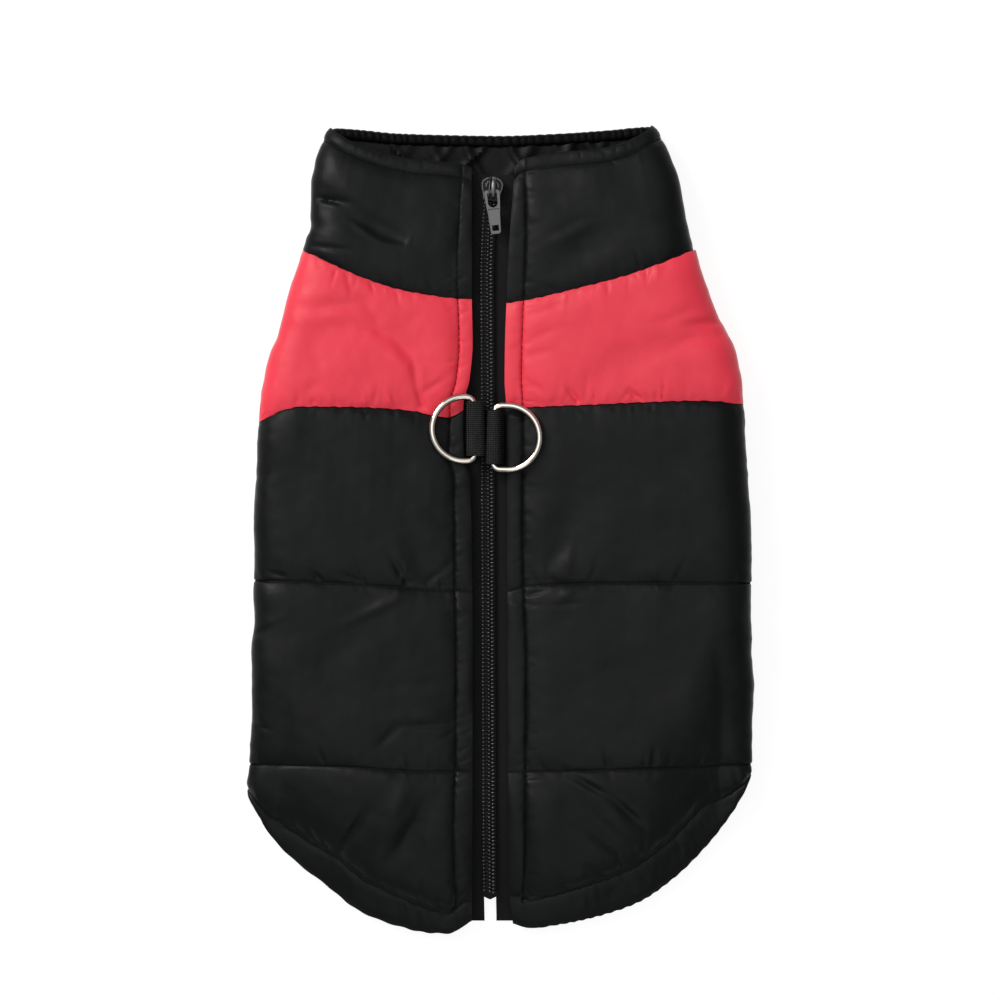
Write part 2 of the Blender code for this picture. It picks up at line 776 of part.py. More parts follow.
def add_zip_chain(teeth):
    """Closed teeth as one plain strip with rounded shoulders, down to the bottom stop."""
    half, shoulder = CHAIN_WIDTH / 2, 0.9
    rings = []
    for y in zip_stations(CHAIN_TOP, CHAIN_END, 34):
        profile = (
            (-half, WALL),
            (-half, WALL - CHAIN_DEPTH + shoulder),
            (-half + shoulder, WALL - CHAIN_DEPTH),
            (half - shoulder, WALL - CHAIN_DEPTH),
            (half, WALL - CHAIN_DEPTH + shoulder),
            (half, WALL),
        )
        rings.append([along_zip(zip_x(y) + x, y, depth) for x, depth in profile])
    add_sweep("zip_chain", rings, teeth)


def d_outline(leg):
    """Middle line of the wire of a D ring in its own plane: the bar lies along y at x = 0, and
    the round side reaches to +x."""
    points = []
    for k in range(21):
        a = math.pi * (k / 20 - 0.5)
        points.append((leg + RING_RADIUS * math.cos(a), RING_RADIUS * math.sin(a)))
    side = RING_RADIUS - RING_CORNER
    for k in range(5):
        a = math.pi * (0.5 + k / 8)
        points.append((RING_CORNER * (1 + math.cos(a)), side + RING_CORNER * math.sin(a)))
    points.append((0.0, 0.0))
    for k in range(5):
        a = math.pi * (1.0 + k / 8)
        points.append((RING_CORNER * (1 + math.cos(a)), -side + RING_CORNER * math.sin(a)))
    return points


RINGS = {
    # middle of the bar (x, y, z), lean in plan and tilt of the ring's plane in degrees, length of
    # its legs, and how far the webbing's fold lies past the bar
    LEFT: ((-11.2, 43.3, 22.6), 1.5, 6.0, 4.3, 1.7),
    RIGHT: ((-2.6, 39.6, 22.9), -1.5, 6.5, 6.0, 0.0),
}


def ring_frame(side):
    """Axes of a ring: out along its plane, along its bar, and up."""
    _, lean, tilt, _, _ = RINGS[side]
    lean, tilt = math.radians(lean), math.radians(tilt)
    along = Vector((-math.sin(lean), math.cos(lean), 0.0))
    flat = Vector((side * math.cos(lean), side * math.sin(lean), 0.0))
    up = Vector((0.0, 0.0, 1.0))
    out = flat * math.cos(tilt) + up * math.sin(tilt)
    return out, along, out.cross(along) * side


def add_ring(side, metal):
    """D ring of round wire. Its origin is on the bar, about which it swings."""
    centre = Vector(RINGS[side][0])
    out, along, up = ring_frame(side)
    line = d_outline(RINGS[side][3])
    rings = []
    for k, (x, y) in enumerate(line):
        ahead, behind = line[(k + 1) % len(line)], line[k - 1]
        tangent = Vector((ahead[0] - behind[0], ahead[1] - behind[1])).normalized()
        sideways = out * tangent.y - along * tangent.x
        middle = out * x + along * y
        ring = []
        for j in range(RING_SEGMENTS):
            a = 2 * math.pi * (j + 0.5) / RING_SEGMENTS
            ring.append(middle + (sideways * math.cos(a) + up * math.sin(a)) * WIRE / 2)
        rings.append(ring)
    obj = add_sweep(f"ring_{SIDE_NAMES[side]}", rings, metal, closed=True)
    obj.location = centre * MM


def loop_angles(first, last, count):
    """Angles round a loop of webbing, with those at which it is level above and below."""
    level = [a for a in (math.pi / 2, 3 * math.pi / 2) if first < a < last]
    return sorted([first + (last - first) * k / count for k in range(count + 1)] + level)


def add_ring_tab(side, cloth):
    """Folded webbing that comes out at the placket's edge and loops round the ring's bar."""
    (bx, by, bz), lean, _, _, slack = RINGS[side]
    ends = np.linspace(by - WEBBING_WIDTH / 2, by + WEBBING_WIDTH / 2, 9)
    root_x = side * float(np.min(side * placket_x(side, ends))) - side * TAB_GAP
    root_z = along_zip(root_x, by, WALL)[2]
    hole = WIRE / 2 + BAR_PLAY
    run, drop = abs(root_x - bx), root_z - bz
    # Both layers leave the bar on tangents, and meet where they go in under the placket.
    meet = (0.8 * run, 0.8 * (drop + WEBBING))
    to_root = math.atan2(meet[1], meet[0])
    spread = math.acos(hole / math.hypot(*meet))
    outer_loop, inner_loop = [], []
    for a in loop_angles(to_root + spread, to_root - spread + 2 * math.pi, 12):
        past_bar = slack if math.cos(a) < -0.01 else 0.0
        for loop, radius in ((outer_loop, hole + WEBBING), (inner_loop, hole)):
            loop.append((radius * math.cos(a) - past_bar, radius * math.sin(a)))
    outer_loop += [(run, drop), (run, drop + 2 * WEBBING)]
    inner_loop += [meet, meet]
    half = WEBBING_WIDTH / 2
    count = len(outer_loop)
    verts, faces = [], []
    lean = math.tan(math.radians(lean))
    for y in (-half, half):
        for loop in (outer_loop, inner_loop):
            for x, z in loop:
                # The loop leans with the ring's bar, and its root is square to the placket.
                slid = y * lean * min(1.0, (run - x) / run)
                verts.append((bx + side * x - slid, by + y, bz + z))
    for j in range(count):
        k = (j + 1) % count
        faces.append((j, k, 2 * count + k, 2 * count + j))
        faces.append((count + k, count + j, 3 * count + j, 3 * count + k))
        for end in (0, 2 * count):
            faces.append((end + j, end + k, end + count + k, end + count + j))
    obj = add_object(f"ring_tab_{SIDE_NAMES[side]}", verts, faces, cloth)
    work = bmesh.new()
    work.from_mesh(obj.data)
    bmesh.ops.remove_doubles(work, verts=work.verts, dist=0.01 * MM)
    bmesh.ops.dissolve_degenerate(work, dist=0.01 * MM, edges=work.edges)
    bmesh.ops.recalc_face_normals(work, faces=work.faces)
    work.to_mesh(obj.data)
    work.free()


def plate(name, outline, low, high, metal, edge=0.0):
    """A plate with an outline in plan. Its upper and lower edges are rounded off by edge."""
    inset = [(x * (1 - edge / 5), y * (1 - edge / 9)) for x, y in outline]
    if edge == 0.0:
        rings = [[(x, y, z) for x, y in outline] for z in (low, high)]
        return add_sweep(name, rings, metal)
    levels = ((low, inset), (low + edge, outline), (high - edge, outline), (high, inset))
    return add_sweep(name, [[(x, y, z) for x, y in shape] for z, shape in levels], metal)


def combine(target, operation, others):
    """Booleans the others into the target, and removes them."""
    for other in others:
        modifier = target.modifiers.new("cut", "BOOLEAN")
        modifier.operation = operation
        modifier.solver = "EXACT"
        modifier.object = other
        bpy.context.view_layer.objects.active = target
        bpy.ops.object.modifier_apply(modifier=modifier.name)
        bpy.data.objects.remove(other)


def arch(name, half_width, line, radius, metal):
    """A bar across x that runs through points (y, z), such as a slider's crown."""
    rings = []
    for k, (y, z) in enumerate(line):
        ahead, behind = line[min(k + 1, len(line) - 1)], line[max(k - 1, 0)]
        tangent = Vector((ahead[0] - behind[0], ahead[1] - behind[1])).normalized()
        up = Vector((-tangent.y, tangent.x))
        corners = ((-half_width, -radius), (half_width, -radius), (half_width, radius))
        corners += ((-half_width, radius),)
        rings.append([(x, y + up.x * r, z + up.y * r) for x, r in corners])
    return add_sweep(name, rings, metal)


def turn_and_tilt(turn, tilt):
    """A turn in plan after a tilt along the zip, both in degrees."""
    return Matrix.Rotation(math.radians(turn), 3, "Z") @ Matrix.Rotation(math.radians(tilt), 3, "X")


def place(obj, centre, turned):
    """Turns an object's points at the origin, and moves its origin to centre."""
    obj.data.transform(turned.to_4x4())
    obj.location = Vector(centre) * MM


def slider_frame():
    """Middle of the slider, in the middle of the teeth, and how it is turned."""
    slope = (zip_height(SLIDER_Y + 5) - zip_height(SLIDER_Y - 5)) / 10.0
    middle = along_zip(zip_x(SLIDER_Y), SLIDER_Y, WALL - CHAIN_DEPTH / 2)
    turned = turn_and_tilt(SLIDER_TURN, math.degrees(math.atan(slope)))
    return Vector(middle), turned


def pull_pivot():
    """Where the middle of the pull's bar lies, under the slider's crown."""
    middle, turned = slider_frame()
    return middle + turned @ Vector((0.0, -PULL_BACK, SLIDER_UP + SLIDER_WALL + PULL_UP))


def add_slider(metal):
    """Slider: two plates that hold the teeth between them, the wedge that parts them above,
    and the crown that holds the pull."""
    upper = plate("slider", SLIDER_PLATE, SLIDER_UP, SLIDER_UP + SLIDER_WALL, metal, 0.35)
    lower = plate("lower", SLIDER_PLATE, -SLIDER_DOWN - SLIDER_WALL, -SLIDER_DOWN, metal, 0.35)
    wedge = ((-1.5, 5.0), (1.5, 5.0), (0.9, 1.6), (-0.9, 1.6))
    post = plate("wedge", wedge, -SLIDER_DOWN - 0.5, SLIDER_UP + 0.5, metal)
    over = SLIDER_UP + SLIDER_WALL
    line = [(-4.2, over - 0.7)]
    for k in range(9):
        a = math.pi * (1 - k / 8)
        line.append((-0.2 + 3.6 * math.cos(a), over + CROWN_RISE * math.sin(a) ** 0.7))
    line.append((3.8, over - 0.7))
    crown = arch("crown", 1.15, line, 0.45, metal)
    combine(upper, "UNION", (lower, post, crown))
    middle, turned = slider_frame()
    place(upper, middle, turned)


def add_pull(metal):
    """Flat pull with the hole that the crown runs through and a smaller hole at its end. Its
    origin is on the line about which it swings."""
    body = plate("pull_tab", PULL_OUTLINE, -PULL_PLATE / 2, PULL_PLATE / 2, metal, 0.3)
    holes = [
        plate("hole", outline, -PULL_PLATE, PULL_PLATE, metal)
        for outline in (PULL_UPPER_HOLE, PULL_END_HOLE)
    ]
    combine(body, "DIFFERENCE", holes)
    slope = (zip_height(SLIDER_Y - 4) - zip_height(SLIDER_Y - 20)) / 16.0
    turned = turn_and_tilt(PULL_TURN, math.degrees(math.atan(slope)) + PULL_DROOP)
    place(body, pull_pivot(), turned)


def main():
    for obj in list(bpy.data.objects):
        bpy.data.objects.remove(obj)
    black = material("black_nylon", (0.012, 0.012, 0.013), 0.5)
    red = material("red_nylon", (0.78, 0.07, 0.10), 0.5)
    webbing = material("black_webbing", (0.010, 0.010, 0.010), 0.8)
    coil = material("black_coil", (0.012, 0.012, 0.012), 0.4)
    nickel = material("bright_nickel", (0.80, 0.78, 0.75), 0.15, 1.0)
    gunmetal = material("dark_gunmetal", (0.16, 0.16, 0.17), 0.3, 1.0)
    for side in (LEFT, RIGHT):
        add_collar(side, black)
        add_yoke(side, red)
        add_back(side, black)
        add_zip_tape(side, webbing)
        add_ring_tab(side, webbing)
        add_ring(side, nickel)
    add_chest(black)
    add_throat_casing(black)
    add_zip_chain(coil)
    add_slider(gunmetal)
    add_pull(gunmetal)


main()
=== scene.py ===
"""Looks of the padded dog jacket: its cloth with creases and puckers, stitches, zip and rings.

Sizes are in millimetres until the meshes are made. +Y runs from the hem to the neck, and left
and right are as the jacket is seen from above. The shape's tables repeat those of the solids.
"""

import math

import bmesh
import bpy
import numpy as np
from mathutils import Matrix, Vector

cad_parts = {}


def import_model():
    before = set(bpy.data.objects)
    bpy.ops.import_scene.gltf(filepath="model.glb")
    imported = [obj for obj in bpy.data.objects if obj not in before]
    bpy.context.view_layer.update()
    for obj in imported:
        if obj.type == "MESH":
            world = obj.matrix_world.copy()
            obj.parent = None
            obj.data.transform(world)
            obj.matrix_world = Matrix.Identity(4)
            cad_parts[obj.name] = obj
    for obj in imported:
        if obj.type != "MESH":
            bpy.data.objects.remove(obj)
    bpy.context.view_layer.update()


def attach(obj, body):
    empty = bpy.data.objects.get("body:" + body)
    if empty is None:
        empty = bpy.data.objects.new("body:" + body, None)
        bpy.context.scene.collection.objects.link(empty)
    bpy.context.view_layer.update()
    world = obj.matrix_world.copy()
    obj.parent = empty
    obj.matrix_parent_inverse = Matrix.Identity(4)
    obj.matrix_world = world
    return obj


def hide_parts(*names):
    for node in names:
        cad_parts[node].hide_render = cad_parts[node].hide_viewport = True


MM = 0.001
LEFT, RIGHT = -1, 1
SIDE_NAMES = {LEFT: "left", RIGHT: "right"}

# Walls
WALL = 3.0  # padded cloth at a seam
LOFT = 3.0  # how far a quilted channel stands above its seams
SEAM_DIP = 0.7  # how far a stitched line sinks into the cloth
LOFT_RUN = 6.5  # distance from a seam over which the padding fills out
BAND_RUN = 1.6  # the same in a narrow stitched band
BAND_LOFT = 0.3  # how much of it a stitched band has
FOLD_LEVEL = 0.7  # how much less a seam dips at the side fold than on top
SEAM_GAP = 0.45  # between pieces that are sewn together

# Stitched bands along the free edges
PLACKET_BAND = 6.4
BAND_SHARE = {LEFT: 0.89, RIGHT: 1.11}  # the two plackets aren't stitched at the same width
NECK_BAND = 5.6

# The flattened tube
FOLD_SHARE = 0.7  # radius of the side fold, as a share of the tube's height
FOLD_POWER = 0.87  # 1 is an ellipse, and less is squarer
SAG = 2.6  # how far the top layer dips from the side folds to the zip
TAIL_RUN = 60.0  # the back panel comes down to the surface over this much above its hem
SIDE_PUFF = 1.2  # what the padding adds to the outline at the side folds
TUBE_INSET = 12.0  # from the outline to where the tube's height is taken
HEM_HEIGHT, HEM_AT_ZIP, HEM_AT_CORNER = 3.1, 1.3, 4.4  # at the hem, and what is added at these
ZIP_RUN, CORNER_START, CORNER_RUN = 14.0, 78.0, 24.0  # how far across from the zip they reach
CORNER_HEIGHT = 8.0
SLANT_REACH = 14.0

# Zip
ZIP_X = -4.5  # the middle of its run, where the height over it is taken
TAPE_GAP = 2.55  # from the zip's middle to each tape's edge
TAPE = 0.8
TAPE_PLAY = 0.5  # between the tape and the placket over it
TAPE_UNDER = 6.0  # how far a tape runs in under its placket
CHAIN_DEPTH = 2.4
CHAIN_TOP, CHAIN_END = 147.0, -158.6
TAPE_TOP, TAPE_END = 153.0, -169.9
ZIP_PLAY = 0.2  # from the plackets' lowest edge down to the zip
TOOTH_PITCH, TOOTH_REACH = 1.62, 2.9  # TOOTH_REACH is from the zip's middle to a tooth's end
# How high above the tapes' upper side a tooth's outer end, inner end, knuckle and thread lie.
TOOTH_RISES = (0.55, 1.25, 1.0, 1.78)
ZIP_FOOT = -168.0  # where the plackets meet the hem
ZIP_REACH = 6.8  # from the zip's middle to where the plackets' height is taken

# D rings: half a circle of wire, and two short legs with rounded corners to a straight bar
WIRE = 2.8
RING_RADIUS = 13.7
RING_CORNER = 2.8
RING_AROUND, RING_STATIONS = 20, 150  # points round the wire and along it
WEBBING_WIDTH, WEBBING = 23.4, 1.3
BAR_PLAY = 0.3
TAB_GAP = 0.9  # from the webbing to the placket's edge

# Slider and pull
SLIDER_Y = 146.0
SLIDER_UP, SLIDER_DOWN = 1.5, 2.9  # from the middle of the teeth to each plate
SLIDER_WALL = 1.0
CROWN_RISE, CROWN_HALF = 3.3, 4.3
SLIDER_TURN = -4.5
SLIDER_PLATE = (
    (-3.5, -4.9), (3.5, -4.9), (3.9, -2.6), (4.6, 0.4), (4.8, 2.4), (4.4, 3.6), (2, 5.2),
    (-2, 5.2), (-4.4, 3.6), (-4.8, 2.4), (-4.6, 0.4), (-3.9, -2.6),
)
SLIDER_POST = ((-1.5, 5), (1.5, 5), (0.9, 1.6), (-0.9, 1.6))
SLIDER_RIM = (
    (1.7, 4.7), (2.9, 4.1), (3.9, 3.3), (4.35, 2.2), (4.2, 0.6), (3.7, -1.2), (3.3, -2.8),
    (3.05, -4.4),
)
SLIDER_BOSS = ((1.7, 3.4), (2.4, 2.2), (2.6, 0.8))
PULL_PLATE = 1.4
PULL_TURN = 6.0  # degrees that the pull leans towards the right
PULL_DROOP = -3.5
PULL_BACK, PULL_UP = 1.4, 1.45  # from the slider's middle, and above its upper plate
# The pull hangs down its own -y from the pivot, in the middle of the bar above its upper hole.
PULL_OUTLINE = (
    (-2.6, 0.7), (2.6, 0.7), (3.3, 0), (3.2, -3), (2.85, -7.4), (2.6, -9), (2.1, -17.6),
    (1.5, -18.4), (-1.5, -18.4), (-2.1, -17.6), (-2.6, -9), (-2.85, -7.4), (-3.2, -3), (-3.3, 0),
)
PULL_UPPER_HOLE = (
    (-2.1, -0.6), (2.1, -0.6), (2.1, -5.3), (1.4, -6.5), (0, -7), (-1.4, -6.5), (-2.1, -5.3),
)
PULL_END_HOLE = ((-1.45, -14.6), (1.45, -14.6), (1.45, -17.1), (-1.45, -17.1))
PULL_FACE = ((-2.1, -8.2), (2.1, -8.2), (1.75, -13.9), (-1.75, -13.9))
PULL_STEP = ((-2.35, -7.4), (2.35, -7.4), (2.35, -8.2), (-2.35, -8.2))
FACE_DEPTH, STEP_DEPTH = 0.12, 0.75


def table(columns, *rows):
    """Named columns from rows of numbers."""
    return dict(zip(columns.split(), np.array(rows, float).T))


# The outline seen from above, from the corners of the neck down to the hem's side corners.
OUTLINE = table(
    "y left right",
    (174, -72.6, 66.4), (170.7, -75.4, 69.4), (165.6, -77.2, 71.4), (157.8, -78.9, 74.2),
    (150.1, -80.6, 76.8), (141.5, -81.5, 78.5), (132.9, -81.6, 80.2), (124.3, -83.4, 82.3),
    (115.7, -86.4, 84.9), (98.5, -91.2, 91), (81.3, -96.7, 98.4), (64.1, -101.6, 103.4),
    (46.9, -103.5, 104.6), (12.5, -104.8, 106.8), (-39.1, -105.7, 107.8), (-90.7, -107, 108.2),
    (-101.5, -107.9, 109),
)
# The plackets' edges on each side of the zip. The left one gives way to the ring's webbing.
PLACKET = table(
    "y left right",
    (160, -12.3, 6.8), (145, -12.3, 5.7), (122, -12.2, 4), (98, -12.1, 2.8), (80, -11.8, 2.2),
    (64, -13.2, 2), (54.5, -15.6, 2.6), (43, -15.9, 2.9), (31.5, -15.6, 3), (22, -12.8, 3),
    (-50, -11.8, 3.4), (-150, -12, 3.9), (-172, -12.4, 5.8),
)
# The middle of the zip.
ZIP_LINE = table(
    "y x",
    (156, -2.9), (147, -3.4), (138, -4.2), (126, -5), (110, -5.4), (60, -5.2), (0, -5),
    (-80, -4.7), (-150, -4.4), (-169, -4.1),
)
# The hem below the side corners: distance from the frame's centre, and how far down it reaches.
HEM = table(
    "x left right",
    (0, -168.8, -168.8), (5.8, -168.8, -170), (10, -168.8, -171.2), (12.4, -168.9, -171.7),
    (14, -170.2, -171.9), (18, -173.3, -171.8), (21, -174.3, -171.2), (30, -174, -169.6),
    (45, -170.7, -166.1), (60, -164.8, -160.8), (75, -153.3, -150.6), (90, -141.6, -135.6),
    (98, -133.2, -125.4), (104, -122.4, -116), (108.4, -113.4, -105.6),
)
# Width of the stitched hem.
HEM_BAND = table(
    "x left right",
    (8, 7.2, 10.8), (20, 8.1, 12.2), (35, 10.8, 13.6), (52, 12.7, 14.4), (70, 11.3, 13.4),
    (85, 9.4, 12.2), (95, 6.5, 9.9), (102, 4.2, 7.6), (108.4, 3, 3.5),
)
# Lines across the top layer, by the share of the way from the placket's edge to the outline.
NECK_EDGE = table(
    "share left right",
    (0, 155.4, 155.8), (0.05, 156.3, 158.2), (0.18, 157.6, 160.3), (0.35, 158.4, 162.2),
    (0.47, 159.8, 162.8), (0.59, 161.4, 163.7), (0.72, 164.2, 165.8), (0.84, 167.4, 168.8),
    (1, 172.6, 173.6),
)
COLLAR_SEAM = table(
    "share left right",
    (0, 98.9, 97.2), (0.1, 99.3, 98.6), (0.25, 100.8, 101.4), (0.4, 102.9, 104.5),
    (0.6, 107.5, 108.7), (0.8, 113.4, 114), (1, 119.4, 119.5),
)
YOKE_SEAM = table(
    "share left right",
    (0, 51, 52), (0.07, 47.9, 52.2), (0.15, 48.8, 52.5), (0.25, 50.6, 52.9), (0.4, 51.8, 53.5),
    (0.6, 52.4, 54.4), (0.8, 52.5, 55), (0.9, 50.8, 54.8), (1, 45.4, 53.2),
)
QUILT_UPPER = table(
    "share left right",
    (0, -26.4, -26.6), (0.1, -26.2, -24.2), (0.4, -24.4, -23), (0.6, -23, -22.9), (1, -21.9, -23),
)
QUILT_LOWER = table(
    "share left right",
    (0.0, -103.6, -104.2),
    (0.2, -103.9, -103.8),
    (0.6, -101.6, -102.4),
    (1.0, -100.8, -100.8),
)
# Height of the flattened tube along the jacket.
HEIGHT = table(
    "y height",
    (174, 13.5), (165, 16), (145, 19), (115, 20.5), (60, 21), (-90, 20.5), (-174, 20.5),
)
# The chest panel's side seams, on the underside, by distance from the frame's centre.
SIDE_SEAM = table(
    "y x",
    (175, 46), (120, 50), (75, 60), (30, 66), (-30, 76), (-100, 81),
)
ARMHOLE_Y, ARMHOLE_LENGTH, ARMHOLE_WIDTH = 73.0, 78.0, 38.0
ARMHOLE_POWER = 0.6
# The throat edge of the neck, and the chest panel's hem under the belly.
THROAT_EDGE = table(
    "x y",
    (-75, 173.4), (-60, 172.3), (-45, 170.8), (-20, 170), (0, 169.7), (20, 170.4), (45, 172),
    (60, 173.4), (70, 174),
)
UNDER_HEM, UNDER_LIFT = -104.0, 8.0
BELLY_HEM = table("x y", (0.0, -74.0), (30.0, -77.0), (55.0, -86.0), (81.0, UNDER_HEM))
CASING, CASING_DEPTH = 5.2, 5.0
CASING_LEFT, CASING_RIGHT = -69.0, 62.5
CASING_ENDS = {LEFT: (4.0, 8.0), RIGHT: (4.6, 9.0)}  # how far out and up each end turns
NECK_TURN = 48.0  # angle round the side fold at which the neck's edge is at the throat's
GATHER_PITCH, GATHER_DEPTH = 3.4, 0.3

# The largest soft troughs in the padding: middle, direction in degrees, half length, half width,
# depth.
TROUGHS = table(
    "x y turn length width depth",
    (-52, 128, -24, 17, 5, 1.7), (-70, 140, -35, 12, 5, 1.4), (38, 122, 28, 22, 7, 1),
    (-38, 80, -50, 20, 7, 1.5), (-82, 78, 65, 18, 7, 1), (88, 84, 12, 12, 4.5, 2.2),
    (62, 78, 32, 24, 8, 1.2), (24, -4, 60, 20, 7, 1), (-34, -14, -65, 14, 6, 1.2),
    (-86, 22, 75, 26, 8, 1), (-70, -52, 35, 18, 7, 1), (54, -60, -30, 26, 9, 0.9),
    (-58, -128, 55, 18, 6, 1.4), (-38, -134, 62, 16, 6, 1.1), (42, -124, -40, 24, 6, 1.5),
)


def lengths(line):
    """How far along a line each of its points is."""
    return np.concatenate([[0], np.cumsum(np.linalg.norm(np.diff(line, axis=0), axis=1))])


def unit(vectors):
    """The same vectors, each one long."""
    return vectors / np.maximum(np.linalg.norm(vectors, axis=-1, keepdims=True), 1e-9)


def smooth(rows, key, name, at):
    """A column of a table read between its rows, by a cubic that doesn't overshoot them."""
    order = np.argsort(rows[key])
    xs, ys = rows[key][order], rows[name][order]
    step = np.diff(xs)
    rise = np.diff(ys) / step
    slope = np.empty_like(ys)
    slope[0], slope[-1] = rise[0], rise[-1]
    product = rise[:-1] * rise[1:]
    total = np.where(product > 0, rise[:-1] + rise[1:], 1.0)
    slope[1:-1] = np.where(product > 0, 2 * product / total, 0.0)
    at = np.clip(np.asarray(at, float), xs[0], xs[-1])
    i = np.clip(np.searchsorted(xs, at) - 1, 0, len(step) - 1)
    t = (at - xs[i]) / step[i]
    return (
        ys[i] * (1 + 2 * t) * (1 - t) ** 2
        + ys[i + 1] * t * t * (3 - 2 * t)
        + step[i] * (slope[i] * t * (1 - t) ** 2 - slope[i + 1] * t * t * (1 - t))
    )


def outline_x(side, y):
    return smooth(OUTLINE, "y", SIDE_NAMES[side], y) - side * SIDE_PUFF


def placket_x(side, y):
    return smooth(PLACKET, "y", SIDE_NAMES[side], y)


def zip_x(y):
    return float(smooth(ZIP_LINE, "y", "x", y))


def hem_y(side, x):
    return smooth(HEM, "x", SIDE_NAMES[side], side * x)


def hem_band(side, x):
    return smooth(HEM_BAND, "x", SIDE_NAMES[side], side * x)


def hem_slant(side, x, reach=2.0):
    """How much longer than its shortest distance the way straight down to the hem is."""
    rise = (hem_y(side, x + reach) - hem_y(side, x - reach)) / (2 * reach)
    return np.sqrt(1 + rise**2)


def armhole(y):
    """Half the armhole's width at a height up the jacket, and 0 above and below it."""
    t = (np.asarray(y, float) - ARMHOLE_Y) / (ARMHOLE_LENGTH / 2)
    return ARMHOLE_WIDTH / 2 * np.clip(1 - t**2, 0, None) ** ARMHOLE_POWER


def top_height(side, x, y):
    """Height of the top layer's plain outer surface, from the zip to the side fold."""
    x, y = np.asarray(x, float), np.asarray(y, float)
    tube = smooth(HEIGHT, "y", "height", y)
    inner, outer = placket_x(side, y), outline_x(side, y)
    dip = SAG * (1 - np.clip((x - inner) / (outer - inner), -0.2, 1)) ** 2
    near_zip = np.exp(-(((x - ZIP_X) / ZIP_RUN) ** 2))
    near_corner = np.clip((side * x - CORNER_START) / CORNER_RUN, 0, 1) ** 2
    at_hem = HEM_HEIGHT + HEM_AT_ZIP * near_zip + HEM_AT_CORNER * near_corner
    to_hem = (y - hem_y(side, x)) / hem_slant(side, x, SLANT_REACH)
    rise = np.sin(np.clip(to_hem / TAIL_RUN, 0, 1) * math.pi / 2)
    return at_hem + (tube - dip - at_hem) * rise


# Columns of a shell run from the placket's edge over the top, round the side fold and back
# under to the chest panel's seam. The first few keep their distance from the placket's edge.
NEAR_RUN = 21.0  # the last of them
BAND_SHARES = (0, 0.12, 0.3, 0.5, 0.7, 0.85, 0.93, 0.97, 1, 1.03, 1.07, 1.15)
TOP, FOLD, UNDER = range(3)
COLUMNS = (
    [(TOP, PLACKET_BAND * share, 0) for share in BAND_SHARES]
    + [(TOP, run, 0) for run in np.linspace(1.3 * PLACKET_BAND, NEAR_RUN, 11)]
    + [(TOP, NEAR_RUN, share) for share in np.linspace(0, 1, 72)[1:]]
    + [(FOLD, angle, 0) for angle in np.linspace(90, -90, 31)[1:]]
    + [(UNDER, share, 0) for share in np.linspace(0, 1, 9)[1:]]
)
ZONE, ANGLE, _ = np.array(COLUMNS, float).T
# The angle round the side fold, which is 90 all over the top and -90 underneath.
ANGLE = np.where(ZONE == FOLD, ANGLE, np.where(ZONE == TOP, 90, -90))
LAST_TOP = int(np.max(np.where(ZONE == TOP)))
FOLD_COLUMN = LAST_TOP + 20  # where the stitching that goes round the side fold ends
# What is left of the padding's form, of its troughs, and of its creases, round the side fold.
SHOWN = np.clip((ANGLE + 45) / 75, 0, 1) ** 1.3
LEVEL = np.clip(ANGLE / 60, 0, 1)
TURNED = np.clip((ANGLE + 75) / 60, 0, 1)


def signed_power(value, power):
    return math.copysign(abs(value) ** power, value)


def tube_edge(side, y):
    """The outline's x and the tube's height there, at heights y up the jacket."""
    outer = outline_x(side, y)
    return outer, top_height(side, outer - side * TUBE_INSET, y)


def shell_point(side, column, y, ends=None):
    """x and z of a column at heights y up the jacket. ends gives the outline's x and the tube's
    height where the tube closes to the hem's side corner."""
    zone, first, second = column
    outer, height = tube_edge(side, y) if ends is None else ends
    radius = FOLD_SHARE * height
    fold = outer - side * radius
    if zone == TOP:
        near = placket_x(side, y) + side * first * BAND_SHARE[side]
        x = near + (fold - near) * second
        return x, top_height(side, x, y)
    if zone == FOLD:
        angle = math.radians(first)
        across = signed_power(max(math.cos(angle), 0.0), FOLD_POWER)
        up = signed_power(math.sin(angle), FOLD_POWER)
        crown = top_height(side, fold, y)
        return fold + side * radius * across, crown / 2 * (1 + up)
    seam = side * (smooth(SIDE_SEAM, "y", "x", y) + armhole(y) + SEAM_GAP / 2)
    return fold + (seam - fold) * first, np.zeros_like(fold)


def line_y(side, rows, column):
    """Height up the jacket of a line across it, where it crosses a column."""
    y = smooth(rows, "share", SIDE_NAMES[side], 0.5)
    for _ in range(4):
        x, _ = shell_point(side, column, y)
        inner, outer = placket_x(side, y), outline_x(side, y)
        below = column[0] == UNDER or (column[0] == FOLD and column[1] < 0)
        share = 1.0 if below else (x - inner) / (outer - inner)
        y = smooth(rows, "share", SIDE_NAMES[side], share)
    return float(y)


def seam_y(side, rows):
    """Heights up the jacket of a line across it, at every column."""
    return np.array([line_y(side, rows, column) for column in COLUMNS])


def throat_y(x):
    return smooth(THROAT_EDGE, "x", "y", x)


def neck_line(side, column):
    """The neck's edge, which turns at the side fold from the near edge to the throat's."""
    near = line_y(side, NECK_EDGE, column)
    if column[0] == TOP:
        return near
    turned = 1.0 if column[0] == UNDER else np.clip(-column[1] / NECK_TURN, 0, 1) ** 1.5
    x, _ = shell_point(side, column, near)
    under = float(throat_y(x)) - CASING - SEAM_GAP
    return near + (under - near) * float(turned)


def filled(distance, run):
    """How far the padding has filled out at a distance from a seam, from 0 to 1."""
    return 1 - np.exp(-np.clip(distance, 0, None) / run)


def from_seam(distance):
    """The same at distances from a seam across the columns, where the side fold dips less."""
    level = FOLD_LEVEL * np.where(ZONE == FOLD, np.clip((60 - ANGLE) / 50, 0, 1), 0)
    part = filled(distance, LOFT_RUN)
    return part + (1 - part) * level


